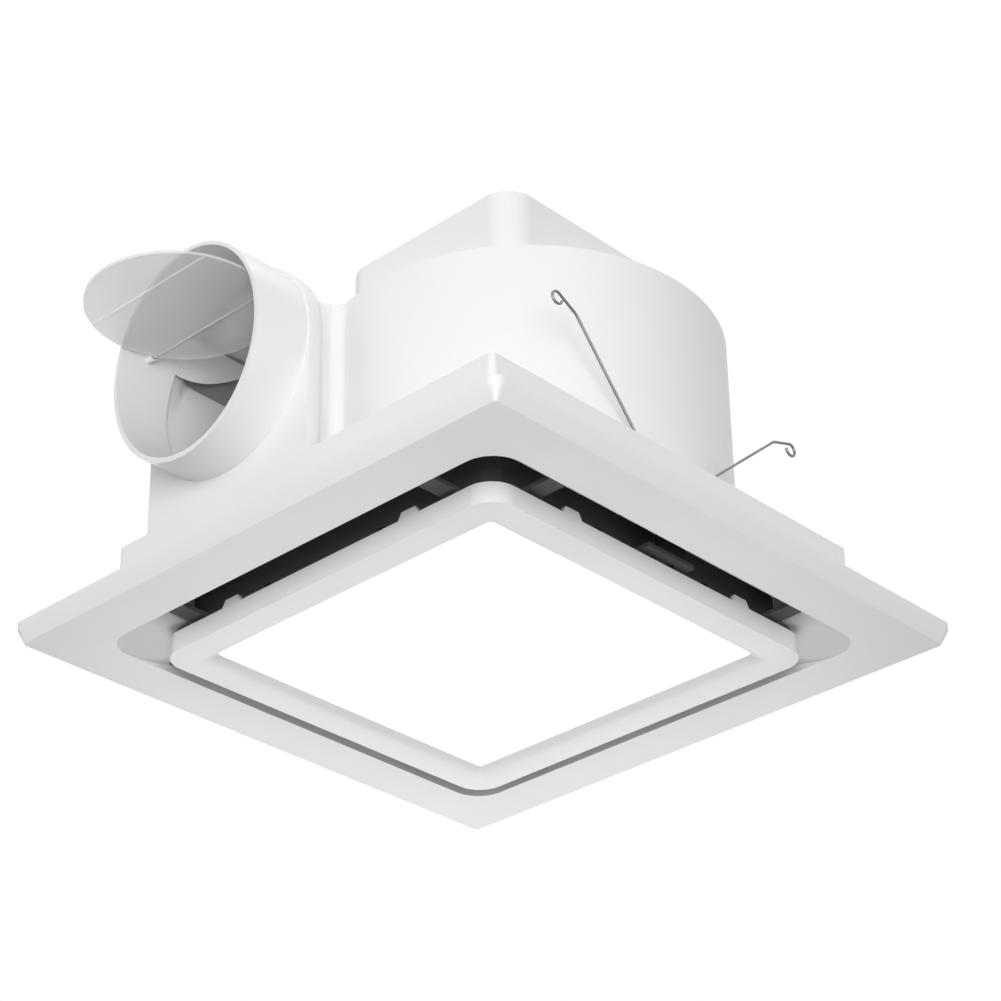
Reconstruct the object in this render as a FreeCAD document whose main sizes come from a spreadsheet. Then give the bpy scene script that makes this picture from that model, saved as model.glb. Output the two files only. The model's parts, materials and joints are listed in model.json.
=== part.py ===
import FreeCAD, Part
import math
import os
import re

import Sketcher
from FreeCAD import Placement, Rotation, Vector

# A ceiling exhaust fan with a light panel. Millimetres, +Z up.
# The origin is the middle of the ceiling plane: the rim of the face panel and the top of the tray's flange
# lie on z = 0, the room is below it and the fan house stands above it. The duct leaves along -X.

doc = FreeCAD.newDocument("ExhaustFan")
sheet = doc.addObject("Spreadsheet::Sheet", "Sizes")

SIZES = {
    # face panel
    "panel_half": "150",
    "panel_corner": "5.5",
    "panel_band": "3",
    "panel_depth": "10",
    "face_inset": "3.7",
    "panel_wall": "2.2",
    "window_half": "121",
    "window_corner": "15",
    "lip_height": "4",
    "boss_radius": "3.4",
    "boss_offset": "126",
    # lamp carrier
    "pan_gap": "2.9",
    "pan_wall": "2",
    "pan_corner": "8",
    "pan_top": "12.5",
    "pan_flange": "5",
    "arm_width": "9",
    "arm_offset": "78",
    "arm_thick": "2",
    "saddle_width": "30",
    # lamp
    "lamp_half": "103.5",
    "lamp_corner": "13",
    "lamp_face": "17.5",
    "lamp_edge": "7.7",
    "lamp_wall": "2",
    "bevel_half": "90.25",
    "bevel_corner": "2.5",
    "glow_half": "85",
    "glow_corner": "2",
    "glow_level": "14.6",
    "glow_lip": "0.6",
    "frame_wall": "3.6",
    "diffuser_half": "88",
    "diffuser_thick": "2",
    "guide_plate_half": "86.2",
    "guide_plate_thick": "3",
    "sheet_thick": "0.6",
    "back_plate_thick": "1.2",
    "strip_length": "160",
    "strip_thick": "0.8",
    "chip_count": "12",
    "chip_length": "3.5",
    "chip_height": "2",
    "chip_thick": "1",
    "tab_width": "12",
    "tab_tip": "8",
    "tab_height": "3.5",
    "tab_offset": "55",
    "lamp_screw_inset": "3",
    "lamp_screw_spread": "35",
    "driver_length": "84",
    "driver_width": "46",
    "driver_height": "12",
    # tray
    "tray_half": "118",
    "tray_top": "39",
    "tray_wall": "2.5",
    "tray_corner": "3",
    "flange_half": "132",
    "flange_corner": "7",
    "flange_thick": "2",
    "ceiling_spacing": "250",
    "ceiling_hole": "2.25",
    "slot_before": "3.2",
    "slot_after": "13",
    "slot_width": "2.6",
    # fan house
    "fan_x": "14.7",
    "fan_y": "-13.3",
    "drum_margin": "7.9",
    "scroll_radius": "112.7",
    "scroll_past": "64",
    "house_wall": "2.5",
    "house_top": "142",
    "neck_radius": "52.9",
    "neck_level": "102",
    "neck_reach": "117",
    "neck_flat": "0.5",
    "crown_start": "111",
    "crown_end": "91",
    "throat_width": "83.1",
    "shoulder_corner": "3.2",
    "tongue_radius": "7",
    "tongue_bite": "0.4",
    "lug_radius": "6.5",
    "lug_height": "3",
    "lug_offset": "5",
    # wiring cover
    "cover_mid_x": "-1.5",
    "cover_mid_y": "-24",
    "cover_half_x": "61.5",
    "cover_half_y": "54",
    "cover_corner": "14",
    "cover_height": "32",
    "cover_wall": "2.2",
    "post_inset": "13",
    "post_radius": "4",
    # duct collar and damper
    "collar_length": "27.5",
    "collar_step": "1.1",
    "collar_straight": "22",
    "lead_in": "0.4",
    "mouth_tilt": "5.8",
    "mouth_turn": "32",
    "collar_wall": "2",
    "spigot_length": "4",
    "spigot_wall": "1.2",
    "catch_height": "0.6",
    "catch_width": "8",
    "hinge_reach": "12",
    "hinge_rise": "22",
    "flap_radius": "42.8",
    "flap_thick": "1.4",
    "flap_offset": "19.4",
    "flap_rib": "0.7",
    "flap_rib_reach": "38",
    "barrel_radius": "1.1",
    "pin_radius": "0.7",
    "pin_bite": "2.4",
    "hinge_boss": "1.8",
    "hinge_boss_gap": "2.2",
    # inlet
    "inlet_hole": "64",
    "inlet_throat": "57",
    "inlet_mouth": "62.5",
    "inlet_flange": "76",
    "inlet_wall": "2",
    "inlet_height": "9",
    # impeller
    "wheel_radius": "80",
    "wheel_level": "98",
    "wheel_plate": "2",
    "wheel_depth": "47",
    "wheel_ring": "3",
    "hub_radius": "12",
    "hub_depth": "18",
    "blade_count": "36",
    "blade_inner": "66",
    "blade_curve": "14",
    "blade_thick": "1.2",
    "blade_sweep": "7",
    "shaft_radius": "4",
    "shaft_end": "10",
    "nut_radius": "7.5",
    "nut_height": "5",
    "washer_radius": "9",
    "washer_thick": "1.5",
    # motor
    "can_radius": "41",
    "can_wall": "1.2",
    "can_depth": "29.4",
    "can_split": "13",
    "plate_radius": "54",
    "plate_thick": "1.6",
    "mount_height": "4",
    "mount_radius": "6",
    "mount_circle": "47",
    "boss_wall": "1.5",
    "bearing_radius": "8",
    "bearing_height": "6",
    "boss_height": "8",
    "stator_inner": "22",
    "stator_height": "12",
    "rotor_height": "9",
    "coil_inner": "26",
    "coil_outer": "37",
    "coil_height": "4",
    # parts in the wiring cover
    "capacitor_radius": "13",
    "capacitor_height": "27",
    "block_length": "34",
    "block_width": "15",
    "block_height": "13",
    "gland_radius": "8",
    "gland_bore": "4.5",
    "gland_hex": "11",
    "gland_length": "15",
    "gland_rise": "16",
    # springs
    "wire_radius": "0.65",
    "coil_radius": "4.2",
    "coil_pitch": "1.9",
    "coil_level": "26.8",
    "spring_x": "3.5",
    "spring_lean": "5.3",
    "leg_angle": "44.8",
    "leg_length": "85.5",
    "tail_turn": "22",
    "tail_radius": "6",
    "tail_length": "11",
    "hook_radius": "3",
    "hook_turn": "285",
    "pivot_radius": "2.9",
    "bracket_width": "18",
    "bracket_thick": "1.5",
    "bracket_foot": "10",
    # screws and fits
    "screw_head": "3",
    "screw_head_height": "1.6",
    "screw_shank": "1.5",
    "screw_bite": "4",
    "fit_gap": "0.05",
    "seat_gap": "0.3",
}

for row, (alias, number) in enumerate(SIZES.items(), 1):
    sheet.set(f"A{row}", alias)
    sheet.set(f"B{row}", number)
    sheet.setAlias(f"B{row}", alias)
doc.recompute()

NAME = re.compile(r"\b(" + "|".join(SIZES) + r")\b")
SIDES = (0, 90, 180, 270)
SIGNS = (-1, 1)
TO_DUCT = Rotation(Vector(0, 1, 0), -90)
ALONG_Y = Rotation(Vector(1, 0, 0), -90)
ALONG_X = Rotation(Vector(0, 1, 0), 90)
nodes = []


def cells(text):
    """An expression on the sheet from one written with bare size names."""
    return NAME.sub(r"Sizes.\1", str(text))


def size(text):
    """The present value of an expression, in millimetres, degrees or a count."""
    return float(sheet.evalExpression(cells(text)))


def bind(thing, **sizes):
    """Drive properties of a document object from expressions."""
    for name, text in sizes.items():
        thing.setExpression(name, cells(text))
    return thing


def put(thing, x="0", y="0", z="0", turn=None):
    """Place a document object, with the three distances driven by expressions."""
    thing.Placement = Placement(Vector(size(x), size(y), size(z)), turn or Rotation())
    for axis, text in zip("xyz", (x, y, z)):
        thing.setExpression("Placement.Base." + axis, cells(text))
    return thing


def keep(thing, label):
    """Name a finished sub-part."""
    thing.Label = label
    nodes.append(thing)
    return thing


def block(name, x, y, z):
    """A box between low and high expressions along each axis."""
    box = doc.addObject("Part::Box", name)
    bind(
        box,
        Length=f"({x[1]}) - ({x[0]})",
        Width=f"({y[1]}) - ({y[0]})",
        Height=f"({z[1]}) - ({z[0]})",
    )
    return put(box, x[0], y[0], z[0])


def rod(name, radius, length, x="0", y="0", z="0", turn=None):
    """A cylinder from its base point, along +Z or along the turned axis."""
    cylinder = doc.addObject("Part::Cylinder", name)
    bind(cylinder, Radius=radius, Height=length)
    return put(cylinder, x, y, z, turn)


def ball(name, radius, x, y, z):
    """A sphere."""
    return put(bind(doc.addObject("Part::Sphere", name), Radius=radius), x, y, z)


def fuse(name, *things):
    """Several objects joined into one."""
    joined = doc.addObject("Part::MultiFuse", name)
    joined.Shapes = list(things)
    return joined


def cut(name, base, *tools):
    """An object with others taken away from it."""
    tool = tools[0] if len(tools) == 1 else fuse(name + "_tools", *tools)
    result = doc.addObject("Part::Cut", name)
    result.Base = base
    result.Tool = tool
    return result


def common(name, first, second):
    """What two objects share."""
    result = doc.addObject("Part::Common", name)
    result.Base = first
    result.Tool = second
    return result


def group(name, *things):
    """Separate solids kept side by side."""
    result = doc.addObject("Part::Compound", name)
    result.Links = list(things)
    return result


def new_body(name):
    """An empty body."""
    return doc.addObject("PartDesign::Body", name)


def new_sketch(body, name, plane, level="0"):
    """A sketch on one of the body's own origin planes, lifted off it by an expression."""
    sketch = body.newObject("Sketcher::SketchObject", name)
    support = next(f for f in body.Origin.OriginFeatures if f.Role == plane)
    sketch.AttachmentSupport = [(support, "")]
    sketch.MapMode = "FlatFace"
    sketch.setExpression("AttachmentOffset.Base.z", cells(level))
    return sketch


def measure(sketch, kind, name, text, *where):
    """A sketch dimension driven by an expression."""
    constraint = Sketcher.Constraint(kind, *where, size(text))
    constraint.Name = name
    sketch.addConstraint(constraint)
    sketch.setExpression("Constraints." + name, cells(text))


def corner_measures(sketch, geometry, point, name, x, y):
    """Fix a sketch point by its two distances from the origin."""
    measure(sketch, "DistanceX", name + "_x", x, -1, 1, geometry, point)
    measure(sketch, "DistanceY", name + "_y", y, -1, 1, geometry, point)


def polygon(sketch, corners):
    """A closed outline of straight lines through corners given as expressions."""
    points = [Vector(size(x), size(y), 0) for x, y in corners]
    count = len(points)
    for i in range(count):
        sketch.addGeometry(Part.LineSegment(points[i], points[(i + 1) % count]))
    for i in range(count):
        sketch.addConstraint(Sketcher.Constraint("Coincident", i, 2, (i + 1) % count, 1))
    for i, (x, y) in enumerate(corners):
        corner_measures(sketch, i, 1, f"corner{i}", x, y)


def rounded_rectangle(sketch, half_x, half_y, radius):
    """A centred rectangle with round corners."""
    x, y, r = size(half_x), size(half_y), size(radius)
    middles = [Vector(x - r, r - y), Vector(x - r, y - r), Vector(r - x, y - r), Vector(r - x, r - y)]
    ends = [(r - x, -y, x - r, -y), (x, r - y, x, y - r), (x - r, y, r - x, y), (-x, y - r, -x, r - y)]
    for quarter, (middle, end) in enumerate(zip(middles, ends)):
        start = (quarter - 1) * math.pi / 2
        sketch.addGeometry(Part.LineSegment(Vector(*end[:2], 0), Vector(*end[2:], 0)))
        circle = Part.Circle(middle, Vector(0, 0, 1), r)
        sketch.addGeometry(Part.ArcOfCircle(circle, start, start + math.pi / 2))
    for i in range(8):
        sketch.addConstraint(Sketcher.Constraint("Tangent", i, 2, (i + 1) % 8, 1))
    for line, kind in ((0, "Horizontal"), (2, "Vertical"), (4, "Horizontal"), (6, "Vertical")):
        sketch.addConstraint(Sketcher.Constraint(kind, line))
    for arc in (3, 5, 7):
        sketch.addConstraint(Sketcher.Constraint("Equal", 1, arc))
    measure(sketch, "Radius", "corner", radius, 1)
    measure(sketch, "DistanceX", "right", half_x, -1, 1, 2, 1)
    measure(sketch, "DistanceX", "left", f"-({half_x})", -1, 1, 6, 1)
    measure(sketch, "DistanceY", "front", f"-({half_y})", -1, 1, 0, 1)
    measure(sketch, "DistanceY", "back", half_y, -1, 1, 4, 1)


def plate(name, half, radius, low, high, half_y=None, x="0", y="0"):
    """A flat slab with round corners between two levels."""
    body = new_body(name)
    sketch = new_sketch(body, name + "_outline", "XY_Plane", low)
    rounded_rectangle(sketch, half, half_y or half, radius)
    pad = body.newObject("PartDesign::Pad", name + "_pad")
    pad.Profile = sketch
    bind(pad, Length=f"({high}) - ({low})")
    return put(body, x, y)


def arch_outline(sketch, left, right, corner, low, top):
    """An upright outline with a flat foot and two round upper corners."""
    a, h, r, b, t = size(left), size(right), size(corner), size(low), size(top)
    up = Vector(0, 0, 1)
    shapes = [
        Part.LineSegment(Vector(a, b, 0), Vector(h, b, 0)),
        Part.LineSegment(Vector(h, b, 0), Vector(h, t - r, 0)),
        Part.ArcOfCircle(Part.Circle(Vector(h - r, t - r, 0), up, r), 0, math.pi / 2),
        Part.LineSegment(Vector(h - r, t, 0), Vector(a + r, t, 0)),
        Part.ArcOfCircle(Part.Circle(Vector(a + r, t - r, 0), up, r), math.pi / 2, math.pi),
        Part.LineSegment(Vector(a, t - r, 0), Vector(a, b, 0)),
    ]
    for shape in shapes:
        sketch.addGeometry(shape)
    for i in (1, 2, 3, 4):
        sketch.addConstraint(Sketcher.Constraint("Tangent", i, 2, i + 1, 1))
    for first, second in ((0, 1), (5, 0)):
        sketch.addConstraint(Sketcher.Constraint("Coincident", first, 2, second, 1))
    for line, kind in ((0, "Horizontal"), (1, "Vertical"), (3, "Horizontal"), (5, "Vertical")):
        sketch.addConstraint(Sketcher.Constraint(kind, line))
    sketch.addConstraint(Sketcher.Constraint("Equal", 2, 4))
    measure(sketch, "Radius", "corner", corner, 2)
    measure(sketch, "DistanceX", "right", right, -1, 1, 1, 1)
    measure(sketch, "DistanceX", "left", left, -1, 1, 5, 2)
    measure(sketch, "DistanceY", "foot", low, -1, 1, 0, 1)
    measure(sketch, "DistanceY", "top", top, -1, 1, 3, 1)


def flare(name, low, high):
    """A slab whose outline changes straight from one level's half width and corner to another's."""
    body = new_body(name)
    sketches = []
    for end, (half, radius, level) in (("low", low), ("high", high)):
        sketch = new_sketch(body, f"{name}_{end}", "XY_Plane", level)
        rounded_rectangle(sketch, half, half, radius)
        sketches.append(sketch)
    loft = body.newObject("PartDesign::AdditiveLoft", name + "_loft")
    loft.Profile = sketches[0]
    loft.Sections = [sketches[1]]
    loft.Ruled = True
    return body


def revolve(body, name, corners):
    """Add to a body what a profile of radius and height sweeps round the body's Z axis."""
    sketch = new_sketch(body, name + "_profile", "XZ_Plane")
    polygon(sketch, corners)
    turned_feature = body.newObject("PartDesign::Revolution", name + "_turn")
    turned_feature.Profile = sketch
    turned_feature.ReferenceAxis = (sketch, ["V_Axis"])
    turned_feature.Angle = 360
    return turned_feature


def turned(name, corners, x="0", y="0", z="0", turn=None):
    """A round piece from its profile of radius and height."""
    body = new_body(name)
    revolve(body, name, corners)
    return put(body, x, y, z, turn)


def tube(name, outer, inner, low, high, x="0", y="0"):
    """An upright ring."""
    return turned(name, [(inner, low), (outer, low), (outer, high), (inner, high)], x, y)


def screw(name, x, y, seat, bite, points_up=False, head="screw_head", shank="screw_shank"):
    """A screw with its head on a seat level and its shank reaching into the piece behind it."""
    profile = [
        ("0", f"-({bite})"),
        (shank, f"-({bite})"),
        (shank, "0"),
        (head, "0"),
        (head, "screw_head_height * 0.6"),
        (f"({head}) * 0.7", "screw_head_height"),
        ("0", "screw_head_height"),
    ]
    turn = Rotation(Vector(1, 0, 0), 180) if points_up else None
    return turned(name, profile, x, y, seat, turn)


def pilot(name, x, y, low, high, radius="screw_shank"):
    """The hole that a screw's shank goes through."""
    return rod(name, f"{radius} + fit_gap", f"({high}) - ({low})", x, y, low)


# Levels and places that several pieces share.
FACE_BACK = "panel_wall - panel_depth"
LIP_TOP = "lip_height - panel_depth"
ARM_TOP = f"{LIP_TOP} + arm_thick"
DIFFUSER_LOW = "glow_lip - glow_level"
GUIDE_LOW = f"{DIFFUSER_LOW} + diffuser_thick"
SHEET_LOW = f"{GUIDE_LOW} + guide_plate_thick"
BACK_LOW = f"{SHEET_LOW} + sheet_thick"
BACK_TOP = f"{BACK_LOW} + back_plate_thick"
FLANGE_TOP = f"{BACK_TOP} + pan_wall"
LAMP_CAVITY = "lamp_wall - lamp_face"
TRAY_ROOF = "tray_top - tray_wall"
NECK_Y = "fan_y + scroll_radius - neck_radius"
THROAT_Y = "(fan_y + scroll_radius - throat_width)"
DRUM = "(tray_half + fan_y - drum_margin)"
SCROLL_X = f"fan_x + {DRUM} - scroll_radius"
HOUSE_ROOF = "house_top - house_wall"
HINGE_X = "-neck_reach - hinge_reach"
HINGE_Z = "neck_level + hinge_rise"
COVER_TOP = "house_top + cover_height"
SPRING_OUTER = "tray_half - tray_wall - wire_radius - seat_gap"
SPRING_INNER = f"{SPRING_OUTER} - 3 * coil_pitch"
OUTER_LEAN = "(leg_angle + spring_lean)"
INNER_LEAN = "(leg_angle - spring_lean)"
BRACKET_FACE = f"({SPRING_INNER} - wire_radius - seat_gap)"
PAN_HALF = f"({BRACKET_FACE} - bracket_foot - pan_gap)"
LAMP_SCREW = f"({PAN_HALF} + lamp_screw_inset)"
COLLAR_RADIUS = "(neck_radius - collar_step)"
COLLAR_INNER = f"({COLLAR_RADIUS} - collar_wall)"
SPIGOT = f"({COLLAR_INNER} - 2 * fit_gap)"
PLATE_TOP = f"{HOUSE_ROOF} - mount_height"
CAN_TOP = f"{PLATE_TOP} - plate_thick"
CAN_LOW = f"{CAN_TOP} - can_depth"
CAN_JOINT = f"{CAN_LOW} + can_split"


def around_square(offset, spread):
    """Points in pairs along the four sides of a square, as expressions."""
    for sign in SIGNS:
        for side in SIGNS:
            yield f"{sign} * {offset}", f"{side} * {spread}"
            yield f"{side} * {spread}", f"{sign} * {offset}"


def make_face_panel():
    """The square cover: a band, a sloped edge, a flat face and a window with a lip."""
    band = plate("panel_band_block", "panel_half", "panel_corner", "-panel_band", "0")
    slope = flare(
        "panel_slope",
        ("panel_half - face_inset", "panel_corner - face_inset", "-panel_depth"),
        ("panel_half", "panel_corner", "-panel_band"),
    )
    inner_half = "panel_half - face_inset - panel_wall / 2"
    hollow = plate("panel_hollow", inner_half, "panel_corner - panel_wall", FACE_BACK, "panel_wall")
    lip = plate("panel_lip", "window_half + panel_wall", "window_corner + panel_wall", FACE_BACK, LIP_TOP)
    window = plate("panel_window", "window_half", "window_corner", "-panel_depth - panel_wall", "panel_wall")
    bosses = []
    holes = []
    for i, (x, y) in enumerate(around_square("boss_offset", "arm_offset")):
        bosses.append(rod(f"panel_boss{i}", "boss_radius", f"{LIP_TOP} - ({FACE_BACK})", x, y, FACE_BACK))
        holes.append(pilot(f"panel_pilot{i}", x, y, FACE_BACK, LIP_TOP))
    shell = cut("panel_shell", fuse("panel_outer", band, slope), hollow)
    dressed = fuse("panel_dressed", shell, lip, *bosses)
    keep(cut("face_panel_cut", dressed, window, *holes), "face_panel")


def make_lamp_carrier():
    """The dark spider behind the panel: the lamp's back pan, arms out to the bosses, spring saddles."""
    pan = plate("carrier_pan", PAN_HALF, "pan_corner", BACK_TOP, "pan_top")
    rim = (f"{PAN_HALF} + pan_flange", "pan_corner + pan_flange")
    pan_rim = plate("carrier_rim", *rim, BACK_TOP, FLANGE_TOP)
    pan_space = plate(
        "carrier_space",
        f"{PAN_HALF} - pan_wall",
        "pan_corner - pan_wall",
        f"{BACK_TOP} - pan_wall",
        "pan_top - pan_wall",
    )
    arms = []
    root = f"{PAN_HALF} - pan_wall / 2"
    level = (LIP_TOP, ARM_TOP)
    for i, side in enumerate(SIDES):
        for sign in SIGNS:
            middle = f"{sign} * arm_offset"
            reach = (root, "boss_offset + arm_width / 2")
            width = (f"{middle} - arm_width / 2", f"{middle} + arm_width / 2")
            arms.append(side_block(f"carrier_arm{i}_{sign + 1}", side, reach, width, level))
    for i, side in enumerate((90, 270)):
        width = ("spring_x - saddle_width / 2", "spring_x + saddle_width / 2")
        arms.append(side_block(f"carrier_saddle{i}", side, (root, BRACKET_FACE), width, level))
    back = cut("carrier_back", fuse("carrier_pans", pan, pan_rim), pan_space)
    holes = []
    for i, (x, y) in enumerate(around_square("boss_offset", "arm_offset")):
        holes.append(pilot(f"carrier_hole{i}", x, y, *level))
    for i, (x, y) in enumerate(around_square(LAMP_SCREW, "lamp_screw_spread")):
        holes.append(pilot(f"carrier_lamp_hole{i}", x, y, BACK_TOP, FLANGE_TOP))
    for i, (x, y) in enumerate(bracket_screw_places()):
        holes.append(pilot(f"carrier_bracket_hole{i}", x, y, *level))
    keep(cut("lamp_carrier_cut", fuse("carrier_whole", back, *arms), *holes), "lamp_carrier")
    screws = []
    for i, (x, y) in enumerate(around_square("boss_offset", "arm_offset")):
        screws.append(screw(f"carrier_screw{i}", x, y, ARM_TOP, "arm_thick + lip_height - panel_wall"))
    keep(group("carrier_screw_set", *screws), "carrier_screws")


def side_block(name, side, across, along, level):
    """A block laid out for the +X side of the square and turned to one of its four sides."""
    box = doc.addObject("Part::Box", name)
    bind(
        box,
        Length=f"({across[1]}) - ({across[0]})",
        Width=f"({along[1]}) - ({along[0]})",
        Height=f"({level[1]}) - ({level[0]})",
    )
    cosine, sine = round(math.cos(math.radians(side))), round(math.sin(math.radians(side)))
    x = f"{cosine} * ({across[0]}) - {sine} * ({along[0]})"
    y = f"{sine} * ({across[0]}) + {cosine} * ({along[0]})"
    return put(box, x, y, level[0], Rotation(Vector(0, 0, 1), side))


def make_lamp():
    """The light: a bezel with snap tabs, a diffuser, a light guide with its LED strips, and a back plate."""
    shell = plate("bezel_block", "lamp_half", "lamp_corner", "-lamp_face", "-lamp_edge")
    inside = ("lamp_half - lamp_wall", "lamp_corner - lamp_wall")
    hollow = plate("bezel_hollow", *inside, LAMP_CAVITY, "lamp_wall")
    nest_half = "diffuser_half + seat_gap"
    frame_half = f"{nest_half} + frame_wall"
    frame = plate("bezel_frame", frame_half, "glow_corner + frame_wall", LAMP_CAVITY, BACK_LOW)
    nest = plate("bezel_nest", nest_half, "glow_corner", DIFFUSER_LOW, "lamp_wall")
    bevel = flare(
        "bezel_bevel",
        ("bevel_half", "bevel_corner", "-lamp_face"),
        ("glow_half", "glow_corner", "-glow_level"),
    )
    light = plate("bezel_light", "glow_half", "glow_corner", "-glow_level", DIFFUSER_LOW)
    bosses = []
    holes = []
    for i, (x, y) in enumerate(around_square(LAMP_SCREW, "lamp_screw_spread")):
        boss_height = f"{BACK_LOW} - ({LAMP_CAVITY})"
        bosses.append(rod(f"bezel_boss{i}", "2 * screw_shank", boss_height, x, y, LAMP_CAVITY))
        holes.append(pilot(f"bezel_pilot{i}", x, y, f"{BACK_LOW} - screw_bite", BACK_LOW))
    tabs = []
    for i, side in enumerate(SIDES):
        for sign in SIGNS:
            tabs.append(snap_tab(f"bezel_tab{i}_{sign + 1}", side, f"{sign} * tab_offset"))
    cup = fuse("bezel_cup", cut("bezel_shell", shell, hollow), frame, *bosses)
    opened = cut("bezel_opened", cup, nest, bevel, light, *holes)
    keep(fuse("bezel_whole", opened, *tabs), "lamp_bezel")
    keep(plate("diffuser_plate", "diffuser_half", "glow_corner", DIFFUSER_LOW, GUIDE_LOW), "lamp_diffuser")
    keep(plate("light_guide_plate", "guide_plate_half", "glow_corner", GUIDE_LOW, SHEET_LOW), "light_guide")
    keep(plate("reflector_plate", "guide_plate_half", "glow_corner", SHEET_LOW, BACK_LOW), "reflector_sheet")
    strips = []
    chips = []
    board = f"{nest_half} - strip_thick - fit_gap"
    middle = f"{GUIDE_LOW} + guide_plate_thick / 2"
    for i, side in enumerate(SIDES):
        across = (board, f"{board} + strip_thick")
        along = ("-strip_length / 2", "strip_length / 2")
        strips.append(side_block(f"strip{i}", side, across, along, (GUIDE_LOW, SHEET_LOW)))
        across = (f"{board} - chip_thick", board)
        level = (f"{middle} - chip_height / 2", f"{middle} + chip_height / 2")
        for k in range(round(size("chip_count"))):
            start = f"strip_length * ({k + 0.5} / chip_count - 0.5) - chip_length / 2"
            chips.append(side_block(f"chip{i}_{k}", side, across, (start, f"{start} + chip_length"), level))
    keep(group("strip_set", *strips), "led_strips")
    keep(group("chip_set", *chips), "led_chips")
    back_half = "lamp_half - lamp_wall - seat_gap"
    back = plate("back_plate_block", back_half, "lamp_corner - lamp_wall", BACK_LOW, BACK_TOP)
    holes = []
    screws = []
    for i, (x, y) in enumerate(around_square(LAMP_SCREW, "lamp_screw_spread")):
        holes.append(pilot(f"back_plate_hole{i}", x, y, BACK_LOW, BACK_TOP))
        screws.append(screw(f"lamp_screw{i}", x, y, FLANGE_TOP, "pan_wall + back_plate_thick + screw_bite"))
    keep(cut("back_plate_cut", back, *holes), "lamp_back_plate")
    keep(group("lamp_screw_set", *screws), "lamp_screws")
    driver_top = f"{BACK_TOP} + driver_height"
    driver_halves = ("driver_length / 2", "driver_width / 2")
    driver = plate("driver_case", driver_halves[0], "bracket_thick", BACK_TOP, driver_top, driver_halves[1])
    keep(driver, "led_driver")


def snap_tab(name, side, middle):
    """A tapered tab standing on the bezel's edge, on one of its four sides."""
    tab = doc.addObject("Part::Wedge", name)
    bind(
        tab,
        Xmin="-tab_width / 2",
        Xmax="tab_width / 2",
        X2min="-tab_tip / 2",
        X2max="tab_tip / 2",
        Ymin="0",
        Ymax="tab_height",
        Zmin="0",
        Zmax="lamp_wall",
        Z2min="0",
        Z2max="lamp_wall",
    )
    cosine, sine = round(math.cos(math.radians(side))), round(math.sin(math.radians(side)))
    x = f"{cosine} * lamp_half - {sine} * ({middle})"
    y = f"{sine} * lamp_half + {cosine} * ({middle})"
    upright = Rotation(Vector(0, 0, 1), side - 90) * Rotation(Vector(1, 0, 0), 90)
    return put(tab, x, y, "-lamp_edge", upright)


def make_tray():
    """The square tray that goes up into the ceiling opening, with its flange below the ceiling."""
    block_part = plate("tray_block", "tray_half", "tray_corner", "-flange_thick", "tray_top")
    flange = plate("tray_flange", "flange_half", "flange_corner", "-flange_thick", "0")
    inside = ("tray_half - tray_wall", "tray_corner - tray_wall")
    hollow = plate("tray_hollow", *inside, "-2 * flange_thick", TRAY_ROOF)
    inlet = rod("tray_inlet", "inlet_hole", "2 * tray_wall", "fan_x", "fan_y", f"{TRAY_ROOF} - tray_wall / 2")
    holes = [inlet]
    for i, (x, y) in enumerate((a, b) for a in SIGNS for b in SIGNS):
        place = (f"{x} * ceiling_spacing / 2", f"{y} * ceiling_spacing / 2", "-1.5 * flange_thick")
        holes.append(rod(f"tray_ceiling_hole{i}", "ceiling_hole", "2 * flange_thick", *place))
    for end in SIGNS:
        for side in SIGNS:
            plane, lean = (SPRING_OUTER, OUTER_LEAN) if side * end < 0 else (SPRING_INNER, INNER_LEAN)
            rise = f"({TRAY_ROOF} + tray_wall / 2 - coil_level)"
            reach = f"(coil_radius / cos({lean}) + {rise} * tan({lean}))"
            ends = (f"{reach} - slot_before", f"{reach} + slot_after")
            x = sorted((f"{-end} * spring_x + {side} * ({edge})" for edge in ends), key=size)
            middle = f"{end} * ({plane})"
            y = (f"{middle} - slot_width / 2", f"{middle} + slot_width / 2")
            z = (f"{TRAY_ROOF} - tray_wall", "tray_top + 1")
            holes.append(block(f"tray_slot{end + 1}_{side + 1}", x, y, z))
    for i, (x, y) in enumerate(volute_screw_places()):
        holes.append(pilot(f"tray_volute_pilot{i}", x, y, f"{TRAY_ROOF} - 1", "tray_top"))
    for i, (x, y) in enumerate(inlet_screw_places()):
        holes.append(pilot(f"tray_inlet_pilot{i}", x, y, TRAY_ROOF, "tray_top + 1"))
    keep(cut("base_tray_cut", fuse("tray_outer", block_part, flange), hollow, *holes), "base_tray")


def volute_screw_places():
    """The middles of the lugs round the fan house, as expressions."""
    for angle in (225, 315):
        radius = f"({DRUM} + lug_offset)"
        yield f"fan_x + {radius} * cos({angle})", f"fan_y + {radius} * sin({angle})"
    radius = "(scroll_radius + lug_offset)"
    yield f"{SCROLL_X} + {radius} * cos(45)", f"fan_y + {radius} * sin(45)"
    yield "-neck_reach / 2", f"{NECK_Y} + neck_radius + lug_offset"
    yield "-crown_end + lug_height / 2", f"{THROAT_Y} - lug_offset"


def inlet_screw_places():
    """Four places on the inlet ring's flange, as expressions."""
    for angle in (45, 135, 225, 315):
        radius = "((inlet_hole + inlet_flange) / 2)"
        yield f"fan_x + {radius} * cos({angle})", f"fan_y + {radius} * sin({angle})"


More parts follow.
